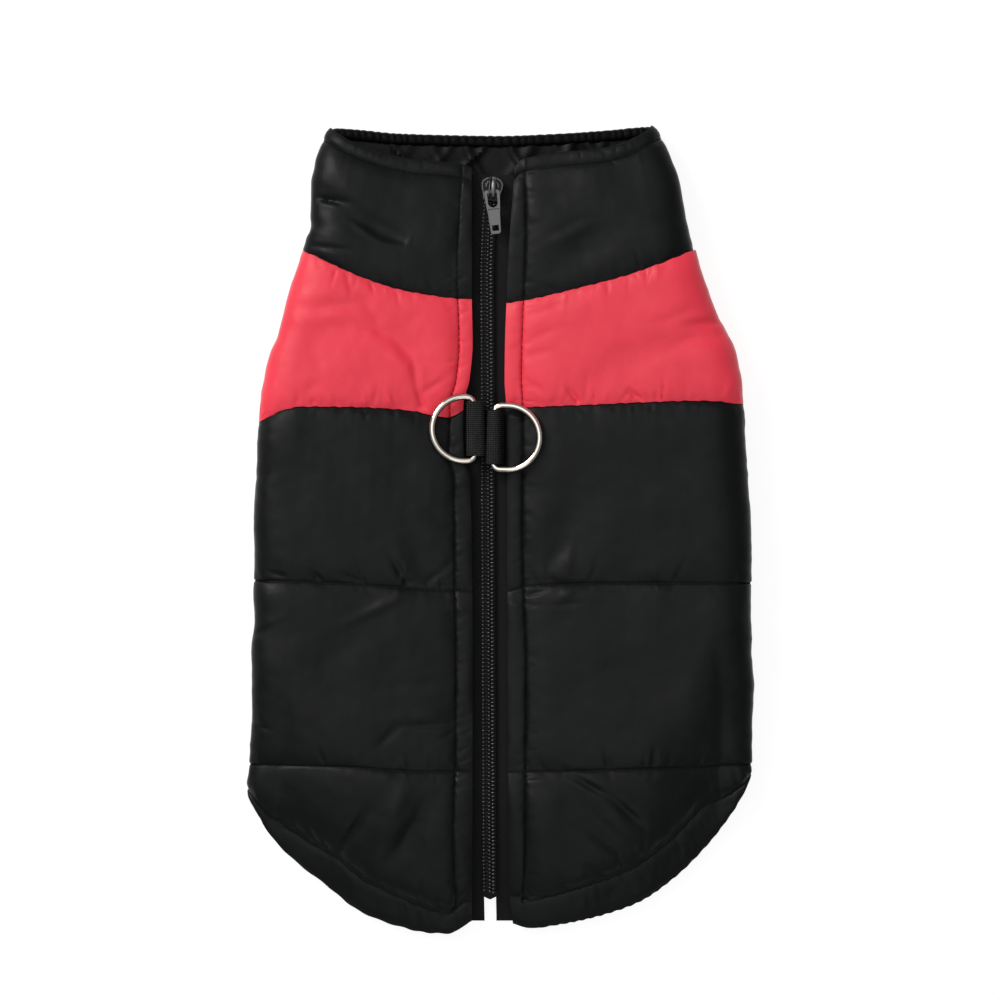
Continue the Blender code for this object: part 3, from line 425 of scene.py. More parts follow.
def across_band(distance, band):
    """The same across a stitched band along an edge, and in the cloth past it."""
    inside = BAND_LOFT * filled(distance, BAND_RUN) * filled(band - distance, BAND_RUN)
    return np.where(distance < band, inside, filled(distance - band, LOFT_RUN))


def normals(points, flip):
    """Unit normals of a grid of points, from its neighbours."""
    down, along = np.gradient(points, axis=0), np.gradient(points, axis=1)
    n = unit(np.cross(along, down) * flip)
    for axis in (0, 1, 0):
        count = n.shape[axis]
        before = n.take([0, *range(count - 1)], axis)
        after = n.take([*range(1, count), count - 1], axis)
        n = before + 2 * n + after
    return unit(n)


def hem_corner(side):
    """Outline, tube height and height up the jacket where the fold meets the hem."""
    x = side * HEM["x"][-1]
    return x, CORNER_HEIGHT, float(hem_y(side, x))


def hem_line(side, column):
    """x and y where a column of the back panel meets the hem."""
    corner_x, height, corner_y = hem_corner(side)
    radius = FOLD_SHARE * height
    fold = corner_x - side * radius
    zone, first, second = column
    if zone == TOP:
        near = placket_x(side, ZIP_FOOT) + side * first * BAND_SHARE[side]
        x = near + (fold - near) * second
        return x, hem_y(side, x)
    if zone == FOLD:
        x = fold + side * radius * max(math.cos(math.radians(first)), 0.0)
        if first > 0:
            return x, corner_y + (hem_y(side, fold) - corner_y) * (first / 90) ** 1.5
        return x, corner_y + (UNDER_HEM - corner_y) * (first / 90) ** 2
    return fold, UNDER_HEM


def zip_height(y):
    """Height of the plackets' plain outer surface over the zip, which is level across."""
    reaches = (ZIP_REACH, ZIP_REACH + TAPE_UNDER)
    edges = [top_height(side, ZIP_X + side * run, y) for side in (LEFT, RIGHT) for run in reaches]
    return float(min(edges)) - ZIP_PLAY


def along_zip(x, y, depth):
    """A point at a depth under the plackets' outer surface near the zip."""
    slope = math.atan(zip_height(y + 0.5) - zip_height(y - 0.5))
    z = max(zip_height(y) - depth * math.cos(slope), 0.0)
    return (x, y + depth * math.sin(slope), z)


def d_outline(leg):
    """Middle line of the wire of a D ring in its own plane: the bar lies along y at x = 0, and
    the round side reaches to +x."""
    turns = [math.pi * (k / 20 - 0.5) for k in range(21)]
    points = [(leg + RING_RADIUS * math.cos(a), RING_RADIUS * math.sin(a)) for a in turns]
    end = RING_RADIUS - RING_CORNER
    for start, y in ((0.5, end), (1.0, -end)):
        for k in range(5):
            a = math.pi * (start + k / 8)
            points.append((RING_CORNER * (1 + math.cos(a)), y + RING_CORNER * math.sin(a)))
    return points


RINGS = {
    # middle of the bar (x, y, z), lean in plan and tilt of the ring's plane in degrees, length of
    # its legs, and how far the webbing's fold lies past the bar
    LEFT: ((-11.2, 43.3, 22.6), 1.5, 6.0, 4.3, 1.7),
    RIGHT: ((-2.6, 39.6, 22.9), -1.5, 6.5, 6.0, 0.0),
}


def ring_frame(side):
    """Axes of a ring: out along its plane, along its bar, and up."""
    _, lean, tilt, _, _ = RINGS[side]
    lean, tilt = math.radians(lean), math.radians(tilt)
    along = Vector((-math.sin(lean), math.cos(lean), 0.0))
    flat = Vector((side * math.cos(lean), side * math.sin(lean), 0.0))
    up = Vector((0.0, 0.0, 1.0))
    out = flat * math.cos(tilt) + up * math.sin(tilt)
    return out, along, out.cross(along) * side


def combine(target, operation, others):
    """Booleans the others into the target, and removes them."""
    for other in others:
        modifier = target.modifiers.new("cut", "BOOLEAN")
        modifier.operation = operation
        modifier.solver = "EXACT"
        modifier.object = other
        bpy.context.view_layer.objects.active = target
        bpy.ops.object.modifier_apply(modifier=modifier.name)
        bpy.data.objects.remove(other)


def turn_and_tilt(turn, tilt):
    """A turn in plan after a tilt along the zip, both in degrees."""
    return Matrix.Rotation(math.radians(turn), 3, "Z") @ Matrix.Rotation(math.radians(tilt), 3, "X")


def slider_frame():
    """Middle of the slider, in the middle of the teeth, and how it is turned."""
    slope = (zip_height(SLIDER_Y + 5) - zip_height(SLIDER_Y - 5)) / 10.0
    middle = along_zip(zip_x(SLIDER_Y), SLIDER_Y, WALL - CHAIN_DEPTH / 2)
    turned = turn_and_tilt(SLIDER_TURN, math.degrees(math.atan(slope)))
    return Vector(middle), turned


def pull_pivot():
    """Where the middle of the pull's bar lies, under the slider's crown."""
    middle, turned = slider_frame()
    return middle + turned @ Vector((0.0, -PULL_BACK, SLIDER_UP + SLIDER_WALL + PULL_UP))


SEED = 20311
STITCH_GROOVE, GROOVE_WIDTH = 0.95, 0.46
TUCK = 1.1
SOFT_DIP = 0.55  # of the solids' dip at a seam, the rest is filled by the padding's bulk
PLACKET_DIP = 0.5
STITCH_COLUMN, NECK_ROW = 8, 7  # of the placket's and the neck's stitching
STITCH_PITCH, STITCH, THREAD = 2.6, 2.4, 0.2  # THREAD is its radius
COLLAR_ROWS, YOKE_ROWS = 78, 90  # of points from seam to seam
CHANNEL_ROWS = (116, 120, 74)  # the same in the back panel's channels
FULL_CHANNEL = 22.0
# The lining's folds: how many, the first one's x, from one to the next, and where they fade in.
LINING_FOLDS, LINING_LEFT, LINING_PITCH, LINING_START, LINING_RUN = 14, -56.0, 8.6, 120.0, 40.0
RIDGE_REACH = 3.2  # where a ridge is taken to end, in lengths from its middle
WAVE_SCALE = 0.314  # of a wave texture whose bands are 1 m apart
FLOOR_SIZE = 3000.0
LENS, CAMERA = 250.3, (0.0, 0.0127, 3.0)  # the lens in mm, and the camera's place in m
PRESSED = {  # how deep the placket's stitching lies
    "collar": {LEFT: 0.4, RIGHT: 0.75},
    "yoke": {LEFT: 1.3, RIGHT: 1.3},
    "back": {LEFT: 0.75, RIGHT: 1.0},
}

# Soft folds that the photo shows, as ridges (height above 0) and troughs: middle, direction in
# degrees, half length, half width, height.
FOLDS = table(
    "x y turn length width height",
    (-57.4, 127.3, -34, 9, 1.6, 0.75), (-45.4, 121.9, -14, 7, 1.8, 0.65),
    (-52.2, 130.9, -30, 11, 3, -0.4), (-39, 123.6, 75, 2.6, 1.3, 0.3),
    (-75, 141.5, -12, 3.4, 1.2, -0.95), (-70.5, 140.9, -8, 6, 1.3, -0.9),
    (-70.7, 138, -25, 8, 2, 0.5), (-71.6, 120.4, -6, 7, 1.4, -0.8), (-79.8, 126, 60, 3, 1.2, 0.5),
    (29.5, 129.7, 25, 9, 2.4, -0.6), (28.6, 125.9, 25, 10, 2.4, 0.5),
    (45.4, 160, -45, 3.5, 0.9, -0.7), (21.2, 103.2, -40, 4, 1.2, -0.5),
    (-71.2, 96, 5, 13, 3, -0.6), (-68.8, 91.3, 5, 13, 3, 0.4), (-54.4, 91.3, -60, 10, 3, -0.4),
    (-51.4, 84.7, -25, 7, 2.2, -0.5), (-41.9, 77.5, -49, 7, 2.2, -0.6),
    (-36.3, 65.8, -79, 8, 1.8, -0.7), (-33.8, 55, -69, 4, 1.2, -0.8),
    (-44.6, 72.5, -40, 8, 3, 0.45), (-28.3, 61.7, 33, 6, 1.6, -0.6), (-80.2, 61, 45, 6, 3, -0.5),
    (-80, 78.2, 80, 8, 4, -0.3), (87.1, 88.4, 5, 8, 1.8, -1.1), (88, 84.6, 8, 8, 2, 0.5),
    (74.6, 91.2, 20, 9, 2.5, -0.5), (75.8, 78.7, 25, 9, 2.5, -0.4),
    (31.9, 56.9, -55, 5, 1.3, -0.9), (58, 57.2, -40, 4, 1.3, -0.9), (19.4, 94, 18, 9, 2, -0.35),
    (18.3, 83.6, 20, 8, 2, -0.35), (16.2, 75.4, 12, 7, 1.8, -0.3), (14.8, 61.5, -35, 5, 1.5, -0.4),
    (23.9, -11.6, 65, 9, 3, -0.6), (29.5, -13.3, 80, 8, 2.2, 0.5), (14.4, -27.5, 15, 4, 1, -0.8),
    (28.6, -28, 30, 4, 2, 0.6), (28.6, -32, 5, 6, 1.2, -0.5), (-42.8, -18.2, -60, 7, 1.8, -1),
    (-27.8, -19.8, 38, 6, 1.5, -0.7), (-36.5, -22.5, 0, 5, 2, -0.6),
    (-78.6, -20.2, -40, 4, 1.2, -0.8), (-64.5, -20.5, -25, 5, 1.5, -0.7),
    (-95.1, -19.2, -20, 3.5, 1.2, -0.6), (-52.2, -33.5, 25, 14, 2.2, 0.8),
    (-32, -83.9, 2, 10, 1.3, -0.95), (-47.5, -88.2, 43, 6, 2, -0.8), (-36, -79.8, 5, 12, 2.4, 0.5),
    (-33, -66, 3, 12, 2.5, -0.4), (-100.5, -43, 35, 5, 1.2, -0.8), (-98, -41, 35, 6, 1.5, 0.5),
    (-102, -84, -20, 4, 1, -0.6), (-16, -80.3, 12, 2.8, 0.6, -0.7),
    (-15, -87.5, 25, 3.2, 0.6, -0.7), (-15.8, -94, 25, 2.6, 0.6, -0.5),
    (-15.4, -99, 28, 3, 0.6, -0.7), (-63.6, -130, 57, 11, 1.5, -1.5),
    (-60, -131.5, 57, 12, 2, 0.9), (-39.5, -131, 56, 17, 4.2, -1.9),
    (-47.5, -122, 57, 15, 3.6, 1.3), (38.9, -110.1, -29, 8, 1.6, -1.4),
    (54.3, -120.8, -41, 8, 1.9, -1.5), (50, -126.5, -35, 10, 2.5, 0.6),
    (46, -134.5, -33, 9, 2, -0.8), (37.6, -127.9, -28, 14, 2.5, -0.5),
    (41, -145.8, -30, 4, 1.2, -0.5), (78.4, -138, 0, 5, 0.9, -0.5), (95, -118.5, 5, 4, 0.8, -0.5),
)

# How far the placket's stitching runs further from the zip than the solids', and how far the
# outline comes in.
STITCH_SHIFT = table(
    "y left right",
    (162, -2, -3.2), (150, -1.6, -2.4), (142, -0.9, -1.3), (131, -0.4, -0.4), (118, 0.3, 0.3),
    (104, 0.5, 0.4), (94, 0.1, 0.2), (62, 0, 0.2), (45, 0, 0), (23, 1.2, -0.2), (-11, 1.5, -0.4),
    (-28, 1.6, 0), (-54, 1.2, 0.8), (-80, 1.4, 0.8), (-97, 1.3, 0.3), (-114, 2, 0.3),
    (-132, 2.4, 0.2), (-149, 2.1, -0.4), (-157, 1.3, -1.5),
)
OUTLINE_TRIM = table(
    "y left right",
    (162, 0.3, 0.6), (150, 0.1, 0.7), (135, 0.4, 0.7), (129, 1.4, 0.7), (124, 0.5, 0.7),
    (88, 0.6, 0.7), (78, 0.6, -0.3), (67, 0.7, 0), (57, 0.1, 0.2), (21, 0.3, 0.4), (5, -0.2, 0),
    (-25, 0.3, 0.2), (-36, 0.8, 0.6), (-51, -0.1, 0.3), (-67, 0.3, -0.4), (-87, 0.3, 0.3),
    (-98, 0.3, 0.8), (-108, 0.4, 0.7), (-125, -0.3, 0.4), (-139, 0.7, 0.4), (-160, 0.7, 0.5),
)


def eased(count):
    """Shares from 0 to 1 that lie closer near both ends."""
    t = np.linspace(0, 1, count)
    return t - 0.62 * np.sin(2 * math.pi * t) / (2 * math.pi)


def flatter(part, dip):
    """A flatter form of how far the padding has filled out, with less dip at the seam."""
    return 1 - dip * (1 - part) ** 1.6


def uneven(side, y):
    """A sewn line's height, with the small waves that its stitches draw into it."""
    x = np.array([shell_point(side, column, at)[0] for column, at in zip(COLUMNS, y)])
    return y + 0.11 * np.sin(x / 1.15 + 1.0) + 0.1 * np.sin(x / 0.63 + 2.0 + np.sin(x / 5.0))


def ridges(u, v, rows, reach=RIDGE_REACH):
    """Sum of long soft ridges (height above 0) and troughs at points (u, v). Each is left out
    beyond reach times its length."""
    total = np.zeros_like(u)
    for cu, cv, turn, length, width, height in rows:
        near = (np.abs(u - cu) < reach * length) & (np.abs(v - cv) < reach * length)
        if not near.any():
            continue
        c, s = math.cos(math.radians(turn)), math.sin(math.radians(turn))
        du, dv = u[near] - cu, v[near] - cv
        along, across = (du * c + dv * s) / length, (-du * s + dv * c) / width
        total[near] += height * np.exp(-(along**2) - across**2)
    return total


def puckers(rng, line, away, pitch, reach, depth):
    """Small folds that run away from a sewn line, as rows for ridges. line is points (u, v), and
    away is the direction of the side that they are on, in degrees."""
    s = lengths(line)
    rows = []
    at = rng.uniform(0, pitch)
    while at < s[-1]:
        u, v = np.interp(at, s, line[:, 0]), np.interp(at, s, line[:, 1])
        length = reach * rng.uniform(0.35, 1.0) ** 1.5
        turn = away + rng.normal(0, 17)
        out = math.radians(turn)
        width = rng.uniform(0.55, 1.5) * (0.6 + 0.4 * length / reach)
        height = -depth * rng.uniform(0.25, 1.0) * (1 if rng.random() < 0.72 else -0.7)
        u, v = u + 0.55 * length * math.cos(out), v + 0.55 * length * math.sin(out)
        rows.append((u, v, turn, length, width, height))
        at += pitch * rng.uniform(0.35, 1.8)
    return rows


def waves(u, v, rng, size, height):
    """A soft uneven surface with bumps of about a size."""
    total = np.zeros_like(u)
    for _ in range(14):
        a = rng.uniform(0, math.pi)
        k = 2 * math.pi / (size * rng.uniform(0.7, 1.6))
        total += np.sin(k * (u * math.cos(a) + v * math.sin(a)) + rng.uniform(0, 6.3))
    return total * height / math.sqrt(14)


def groove(distance):
    """Depth of a stitched line at a distance from it."""
    return STITCH_GROOVE * np.exp(-((distance / GROOVE_WIDTH) ** 2))


def shifted(side, base, y):
    """The panel's points with the placket's stitching and the outline where the photo has them."""
    name = SIDE_NAMES[side]
    band = PLACKET_BAND * BAND_SHARE[side]
    start = placket_x(side, y)
    run = np.abs(base[..., 0] - start)
    beyond = np.clip((run - band) / 16.0, 0, 1)
    share = np.where(run < band, run / band, 1 - beyond * beyond * (3 - 2 * beyond))
    trim = np.clip((np.abs(base[..., 0]) / np.abs(outline_x(side, y)) - 0.7) / 0.3, 0, 1) ** 2
    moved = base.copy()
    moved[..., 0] += side * share * smooth(STITCH_SHIFT, "y", name, y)
    moved[..., 0] -= side * trim * smooth(OUTLINE_TRIM, "y", name, y)
    return moved


class Panel:
    """One padded wall of the top layer. y is the height up the jacket of its points, by row and
    column, and ends is what shell_point takes."""

    def __init__(self, kind, side, y, ends=None):
        self.kind, self.side, self.y = kind, side, y
        self.name = f"{kind}_{SIDE_NAMES[side]}"
        self.first_row, self.last_row = 0, len(y)
        base = np.zeros((*y.shape, 3))
        for j, column in enumerate(COLUMNS):
            here = None if ends is None else [value[:, j] for value in ends]
            x, z = shell_point(side, column, y[:, j], here)
            base[:, j] = np.stack([x, y[:, j], z], axis=1)
        last = LAST_TOP
        for _ in range(4):
            near = slice(last - 5, last + 6)
            around = base[:, last - 6 : last + 5] + base[:, last - 4 : last + 7]
            base[:, near, ::2] = 0.5 * base[:, near, ::2] + 0.25 * around[..., ::2]
        self.band = PLACKET_BAND * BAND_SHARE[side] + smooth(STITCH_SHIFT, "y", SIDE_NAMES[side], y)
        self.base = base = shifted(side, base, y)
        # Distance along the cloth, which goes on past the side fold.
        step = np.linalg.norm(np.diff(base[..., ::2], axis=1), axis=2)
        self.u = base[..., 0].copy()
        self.u[:, last + 1 :] = base[:, [last], 0] + side * np.cumsum(step[:, last:], axis=1)
        self.n = normals(base, -side)
        self.run = np.abs(base[..., 0] - placket_x(side, y))
        self.past_placket = (self.run > 0.97 * self.band) * 1.0

    def line(self, where):
        """Points (u, y) of the row where, or of a column."""
        return np.stack([self.u[where], self.y[where]], axis=1)

    def creases(self, rng, lines):
        """Height that creases add to the panel: rows (row, direction, pitch, reach, depth) of
        puckers, others along the placket and the side fold, and the folds that the photo shows."""
        found = [puckers(rng, self.line(row), *how) for row, *how in lines]
        placket = self.line((slice(None), STITCH_COLUMN))
        away = 0 if self.side == RIGHT else 180
        outward = puckers(rng, placket, away, 5.0, 5.0, 0.4)
        found.append(outward + puckers(rng, placket, away + 205, 4.2, 3.4, 0.75))
        found.append(side_folds(self, rng))
        u, y = self.u, self.y
        total = waves(u, y, rng, 26.0, 0.24) + waves(u, y, rng, 9.0, 0.06)
        for rows in found:
            total += ridges(u, y, rows)
        strength = 1.25 if self.kind == "yoke" else 1.0
        return total + strength * ridges(u, y, list(zip(*FOLDS.values())))

    def shape(self, above, below, detail, inside=None):
        """above and below are how far the padding has filled out from the seams across; detail
        is what is added to it. inside is how far points are from the stitching of the neck or the
        hem, which the placket's doesn't cross."""
        base = self.base
        filled_across = np.where(ZONE == TOP, across_band(self.run, self.band), 1.0)
        pressed = PRESSED[self.kind][self.side]
        across = flatter(filled_across, PLACKET_DIP * min(pressed, 1.0))
        drawn = 0.35 + 0.35 * np.sin(self.y / 1.9 + 1.4 * np.sin(self.y / 4.3)) ** 2
        line = np.where(ZONE == TOP, groove(self.run - self.band), 0.0) * drawn * pressed
        if inside is not None:
            past = np.clip(inside / 1.2 + 0.5, 0, 1)
            across = 1 + (across - 1) * past
            line = line * past
        loft = across * flatter(above, SOFT_DIP) * flatter(below, SOFT_DIP)
        rise = -SEAM_DIP + (LOFT + SEAM_DIP) * loft
        dents = ridges(base[..., 0], base[..., 1], zip(*TROUGHS.values()), np.inf)
        rise -= dents * loft * LEVEL
        near = np.minimum(np.minimum(above, below), filled_across)
        soft = np.clip(near * 3.0 + 0.1, 0.0, 1.0)
        rise = rise * SHOWN + (detail * soft - line) * TURNED
        outer = base + self.n * rise[..., None]
        inner = base - self.n * WALL
        for layer in (outer, inner):
            layer[..., 2] = np.maximum(layer[..., 2], 0.0)
        # The seam allowance reaches in under the piece above.
        if self.kind == "collar":
            inner[0, :, 1] += TUCK * (TURNED < 0.3)
        else:
            inner[0, :, 1] += TUCK
            outer[0, :, 1] += 0.75 * SEAM_GAP * (1 - LEVEL)
        self.outer, self.inner = outer, inner


def mesh_object(name, verts, faces, material, smooth_angle=40.0):
    """An object from points in millimetres."""
    mesh = bpy.data.meshes.new(name)
    mesh.from_pydata((np.asarray(verts, float) * MM).tolist(), [], faces)
    work = bmesh.new()
    work.from_mesh(mesh)
    bmesh.ops.recalc_face_normals(work, faces=work.faces)
    work.to_mesh(mesh)
    work.free()
    mesh.shade_smooth()
    mesh.set_sharp_from_angle(angle=math.radians(smooth_angle))
    mesh.materials.append(material)
    obj = bpy.data.objects.new(name, mesh)
    bpy.context.scene.collection.objects.link(obj)
    return obj


def wall_object(name, outer, inner, material, lining=None):
    """A closed wall between two grids of points, with the lining on its inner side."""
    rows, columns = outer.shape[:2]
    count = rows * columns
    verts = np.concatenate([outer.reshape(-1, 3), inner.reshape(-1, 3)])
    i, j = np.meshgrid(np.arange(rows - 1), np.arange(columns - 1), indexing="ij")
    a = (i * columns + j).ravel()
    quads = np.stack([a, a + 1, a + columns + 1, a + columns], axis=1)
    faces = quads.tolist() + (count + quads[:, ::-1]).tolist()
    edge = [*range(columns), *((k + 1) * columns - 1 for k in range(1, rows))]
    edge += [(rows - 1) * columns + k for k in range(columns - 2, -1, -1)]
    edge += [k * columns for k in range(rows - 2, 0, -1)]
    faces += [(q, p, count + p, count + q) for p, q in zip(edge, edge[1:] + edge[:1])]
    obj = mesh_object(name, verts, faces, material)
    if lining is not None:
        obj.data.materials.append(lining)
        for face in obj.data.polygons[len(quads) : 2 * len(quads)]:
            face.material_index = 1
    return obj


def tube_faces(count, around, start=0, closed=False):
    """Faces round a row of rings of points, with an end on each side unless it is closed."""
    faces = []
    for i in range(count if closed else count - 1):
        a, b = start + i * around, start + (i + 1) % count * around
        for j in range(around):
            k = (j + 1) % around
            faces.append((a + j, a + k, b + k, b + j))
    if not closed:
        end = start + (count - 1) * around
        faces.append(tuple(start + k for k in reversed(range(around))))
        faces.append(tuple(end + k for k in range(around)))
    return faces


def sweep_object(name, rings, material, closed=False, smooth_angle=40.0):
    """A bar or tube through rings of points."""
    rings = np.asarray(rings, float)
    faces = tube_faces(*rings.shape[:2], closed=closed)
    return mesh_object(name, rings.reshape(-1, 3), faces, material, smooth_angle)


def resampled(line, pitch):
    """Points and directions at even steps along a line."""
    line = np.asarray(line, float)
    s = lengths(line)
    count = max(int(s[-1] / pitch), 2)
    at = (np.arange(count) + 0.5) * s[-1] / count

    def points(at):
        return np.stack([np.interp(at, s, line[:, k]) for k in range(3)], axis=1)

    return points(at), unit(points(at + 0.3) - points(at - 0.3))


def beads(name, points, tangents, length, radius, material, around=6, flat=1.0):
    """Many short rounded bars, such as stitches or teeth, in one mesh."""
    shares = ((-0.5, 0.25), (-0.42, 0.8), (-0.2, 1.0), (0.2, 1.0), (0.42, 0.8), (0.5, 0.25))
    verts, faces = [], []
    for p, t in zip(points, tangents):
        sideways = np.cross(t, (0, 0, 1))
        sideways /= max(np.linalg.norm(sideways), 1e-9)
        high = np.cross(sideways, t)
        faces += tube_faces(len(shares), around, len(verts))
        for along, size in shares:
            for k in range(around):
                a = 2 * math.pi * k / around
                offset = sideways * math.cos(a) + high * math.sin(a) * flat
                verts.append(p + t * along * length + offset * radius * size)
    return mesh_object(name, verts, faces, material, 80.0)


def fed(tree, made, inputs):
    """Sets a node's inputs, to values or from other nodes' outputs."""
    for key, value in inputs.items():
        if isinstance(value, bpy.types.NodeSocket):
            tree.links.new(value, made.inputs[key])
        else:
            made.inputs[key].default_value = value
    return made


def node(tree, kind, output, inputs, **settings):
    """Adds a shader node, and gives its output."""
    made = tree.nodes.new("ShaderNode" + kind)
    for key, value in settings.items():
        setattr(made, key, value)
    return fed(tree, made, inputs).outputs[output]


# Materials


def shader(name, color, roughness, specular=0.5, **inputs):
    """A plain material, its node tree, and the object's own coordinates."""
    made = bpy.data.materials.new(name)
    made.use_nodes = True
    tree = made.node_tree
    inputs = {key.replace("_", " "): value for key, value in inputs.items()}
    main = {"Base Color": (*color, 1.0), "Roughness": roughness, "Specular IOR Level": specular}
    fed(tree, tree.nodes["Principled BSDF"], {**main, **inputs})
    return made, tree, node(tree, "TexCoord", "Object", {})


def noise(tree, where, scale, detail=2.0, roughness=0.5):
    inputs = {"Scale": scale, "Detail": detail, "Roughness": roughness, "Vector": where}
    return node(tree, "TexNoise", "Fac", inputs)


def spread(tree, value, low, high):
    inputs = {"From Min": 0.3, "From Max": 0.7, "To Min": low, "To Max": high, "Value": value}
    return node(tree, "MapRange", "Result", inputs)


def bump(tree, height, distance, strength, **after):
    inputs = {"Strength": strength, "Distance": distance, "Height": height, **after}
    return node(tree, "Bump", "Normal", inputs)


def mixed(tree, color, other, share):
    inputs = {"A": (*color, 1.0), "B": (*other, 1.0), "Factor": share}
    return node(tree, "Mix", "Result", inputs, data_type="RGBA")


def weave(tree, where, pitch):
    """Plain weave of a pitch in metres, in the plane of the cloth as it lies."""
    inputs = {"Scale": WAVE_SCALE / pitch, "Vector": where}
    warp, weft = (
        node(tree, "TexWave", "Fac", inputs, wave_type="BANDS", bands_direction=direction)
        for direction in ("X", "Y")
    )
    return node(tree, "Math", "Value", {0: warp, 1: weft}, operation="MULTIPLY")


def nylon(name, color, variation, roughness, specular, sheen=0.0, tint=(0.5, 0.5, 0.5)):
    """Thin smooth cloth, slightly uneven in colour and gloss."""
    made, tree, where = shader(name, color, roughness, specular, Sheen_Weight=sheen)
    patches = spread(tree, noise(tree, where, 45.0, 3.0), 0.0, 1.0)
    gloss = noise(tree, where, 120.0, 2.0)
    crumple = bump(tree, noise(tree, where, 95.0, 3.0, 0.45), 0.0016, 0.25)
    inputs = {
        "Sheen Roughness": 0.45,
        "Sheen Tint": (*tint, 1.0),
        "Base Color": mixed(tree, color, variation, patches),
        "Roughness": spread(tree, gloss, roughness - 0.04, roughness + 0.05),
        "Normal": bump(tree, weave(tree, where, 0.0004), 0.00004, 0.5, Normal=crumple),
    }
    fed(tree, tree.nodes["Principled BSDF"], inputs)
    return made


def ribbed(name, color, pitch, roughness, specular, depth, painted_highlight=None):
    """Coarser yarn, whose raised parts may get a lighter colour, which paints a highlight on the
    weave.
    """
    made, tree, where = shader(name, color, roughness, specular)
    gloss = noise(tree, where, 900.0, 2.0)
    inputs = {
        "Roughness": spread(tree, gloss, roughness - 0.05, roughness + 0.1),
        "Normal": bump(tree, weave(tree, where, pitch), depth, 0.9),
    }
    if painted_highlight is not None:
        # The raised yarn gets the lighter colour: a painted highlight of the weave.
        inputs["Base Color"] = mixed(tree, color, painted_highlight, weave(tree, where, pitch))
    fed(tree, tree.nodes["Principled BSDF"], inputs)
    return made


def metal(name, color, roughness, grain, edge=(1.0, 1.0, 1.0)):
    """Slightly grainy metal, whose colour at its edges is tinted by edge."""
    made, tree, where = shader(name, color, roughness, Metallic=1.0)
    gloss = noise(tree, where, 350.0, 3.0)
    inputs = {
        "Specular Tint": (*edge, 1.0),
        "Roughness": spread(tree, gloss, roughness - grain / 2, roughness + grain),
        "Normal": bump(tree, noise(tree, where, 1500.0, 2.0), 0.00003, 0.35),
    }
    fed(tree, tree.nodes["Principled BSDF"], inputs)
    return made


def make_materials():
    """Every look by its key. A weave's pitch and depth are in metres."""
    # ribs is the lighter colour painted on the webbing's raised yarn, a painted highlight.
    black, sheen, ribs = (0.004, 0.0044, 0.0044), (0.12, (1.0, 0.88, 0.9)), (0.08, 0.082, 0.081)
    cloth = {
        "black": ("black_nylon_cloth", black, (0.0052, 0.0056, 0.0056), 0.4, 0.13),
        "red": ("red_nylon_cloth", (0.8, 0.04, 0.068), (0.73, 0.034, 0.059), 0.44, 0.3, *sheen),
        # The lining is darker than the shell: partly its own cloth, partly painted shade inside the
        # neck's opening.
        "lining": ("black_lining", (0.003, 0.003, 0.0033), (0.004, 0.004, 0.0044), 0.45, 0.11),
        "casing": ("black_casing", (0.0019, 0.0019, 0.0021), (0.0025, 0.0025, 0.0027), 0.5, 0.055),
    }
    yarn = {
        "webbing": ("woven_webbing", (0.0012, 0.0012, 0.0013), 0.00085, 0.7, 0.08, 0.0003, ribs),
        "tape": ("zip_tape_weave", (0.0085, 0.0085, 0.0089), 0.0006, 0.75, 0.11, 0.0001),
        "thread": ("thread", (0.004, 0.004, 0.004), 0.0003, 0.6, 0.15, 0.00005),
        "coil": ("nylon_coil", (0.010, 0.010, 0.0105), 0.0003, 0.24, 0.8, 0.00003),
        # A darker, duller copy of the coil's nylon: painted shade on the teeth's bars and their
        # right-hand ends.
        "shaded_coil": ("nylon_coil_sides", (0.003, 0.003, 0.0032), 0.0003, 0.5, 0.2, 0.00003),
    }
    plated = {
        # The nickel's brown edge tint is a painted reflection of warm surroundings at the rings'
        # edges.
        "nickel": ("nickel_plate", (0.78, 0.70, 0.62), 0.05, 0.03, (0.42, 0.27, 0.16)),
        "gunmetal": ("gunmetal_plate", (0.125, 0.125, 0.126), 0.36, 0.05),
        "dark_metal": ("black_slider_paint", (0.018, 0.018, 0.019), 0.32, 0.08),
    }
    kinds = ((nylon, cloth), (ribbed, yarn), (metal, plated))
    return {key: maker(*rows) for maker, looks in kinds for key, rows in looks.items()}


# Panels


def collar_panel(side, rng):
    upper = np.array([neck_line(side, column) for column in COLUMNS])
    lower = uneven(side, seam_y(side, COLLAR_SEAM)) + SEAM_GAP / 2
    band = NECK_BAND * np.array([0, 0.15, 0.35, 0.6, 0.82, 0.93, 0.97, 1.0])[:, None]
    shares = eased(COLLAR_ROWS)[1:, None]
    y = np.concatenate([upper - band, upper - NECK_BAND + (lower - upper + NECK_BAND) * shares])
    panel = Panel("collar", side, y)
    from_edge, to_seam = upper - y, y - lower
    lines = (
        (-1, 90, 9.0, 5.0, 0.45),
        (NECK_ROW, -90, 8.0, 3.0, 0.25),
        (3, 80, 3.0, 3.0, 0.4),
    )
    detail = panel.creases(rng, lines)
    # On the left the neck's stitching ends at the placket's, and on the right it crosses it.
    if side == LEFT:
        detail -= groove(from_edge - NECK_BAND) * panel.past_placket
        panel.stitches, past = [(NECK_ROW, STITCH_COLUMN, FOLD_COLUMN)], None
    else:
        detail -= groove(from_edge - NECK_BAND)
        panel.stitches, past = [(NECK_ROW, 0, FOLD_COLUMN)], from_edge - NECK_BAND
        panel.first_row = NECK_ROW
    panel.shape(across_band(from_edge, NECK_BAND), from_seam(to_seam), detail, past)
    return panel


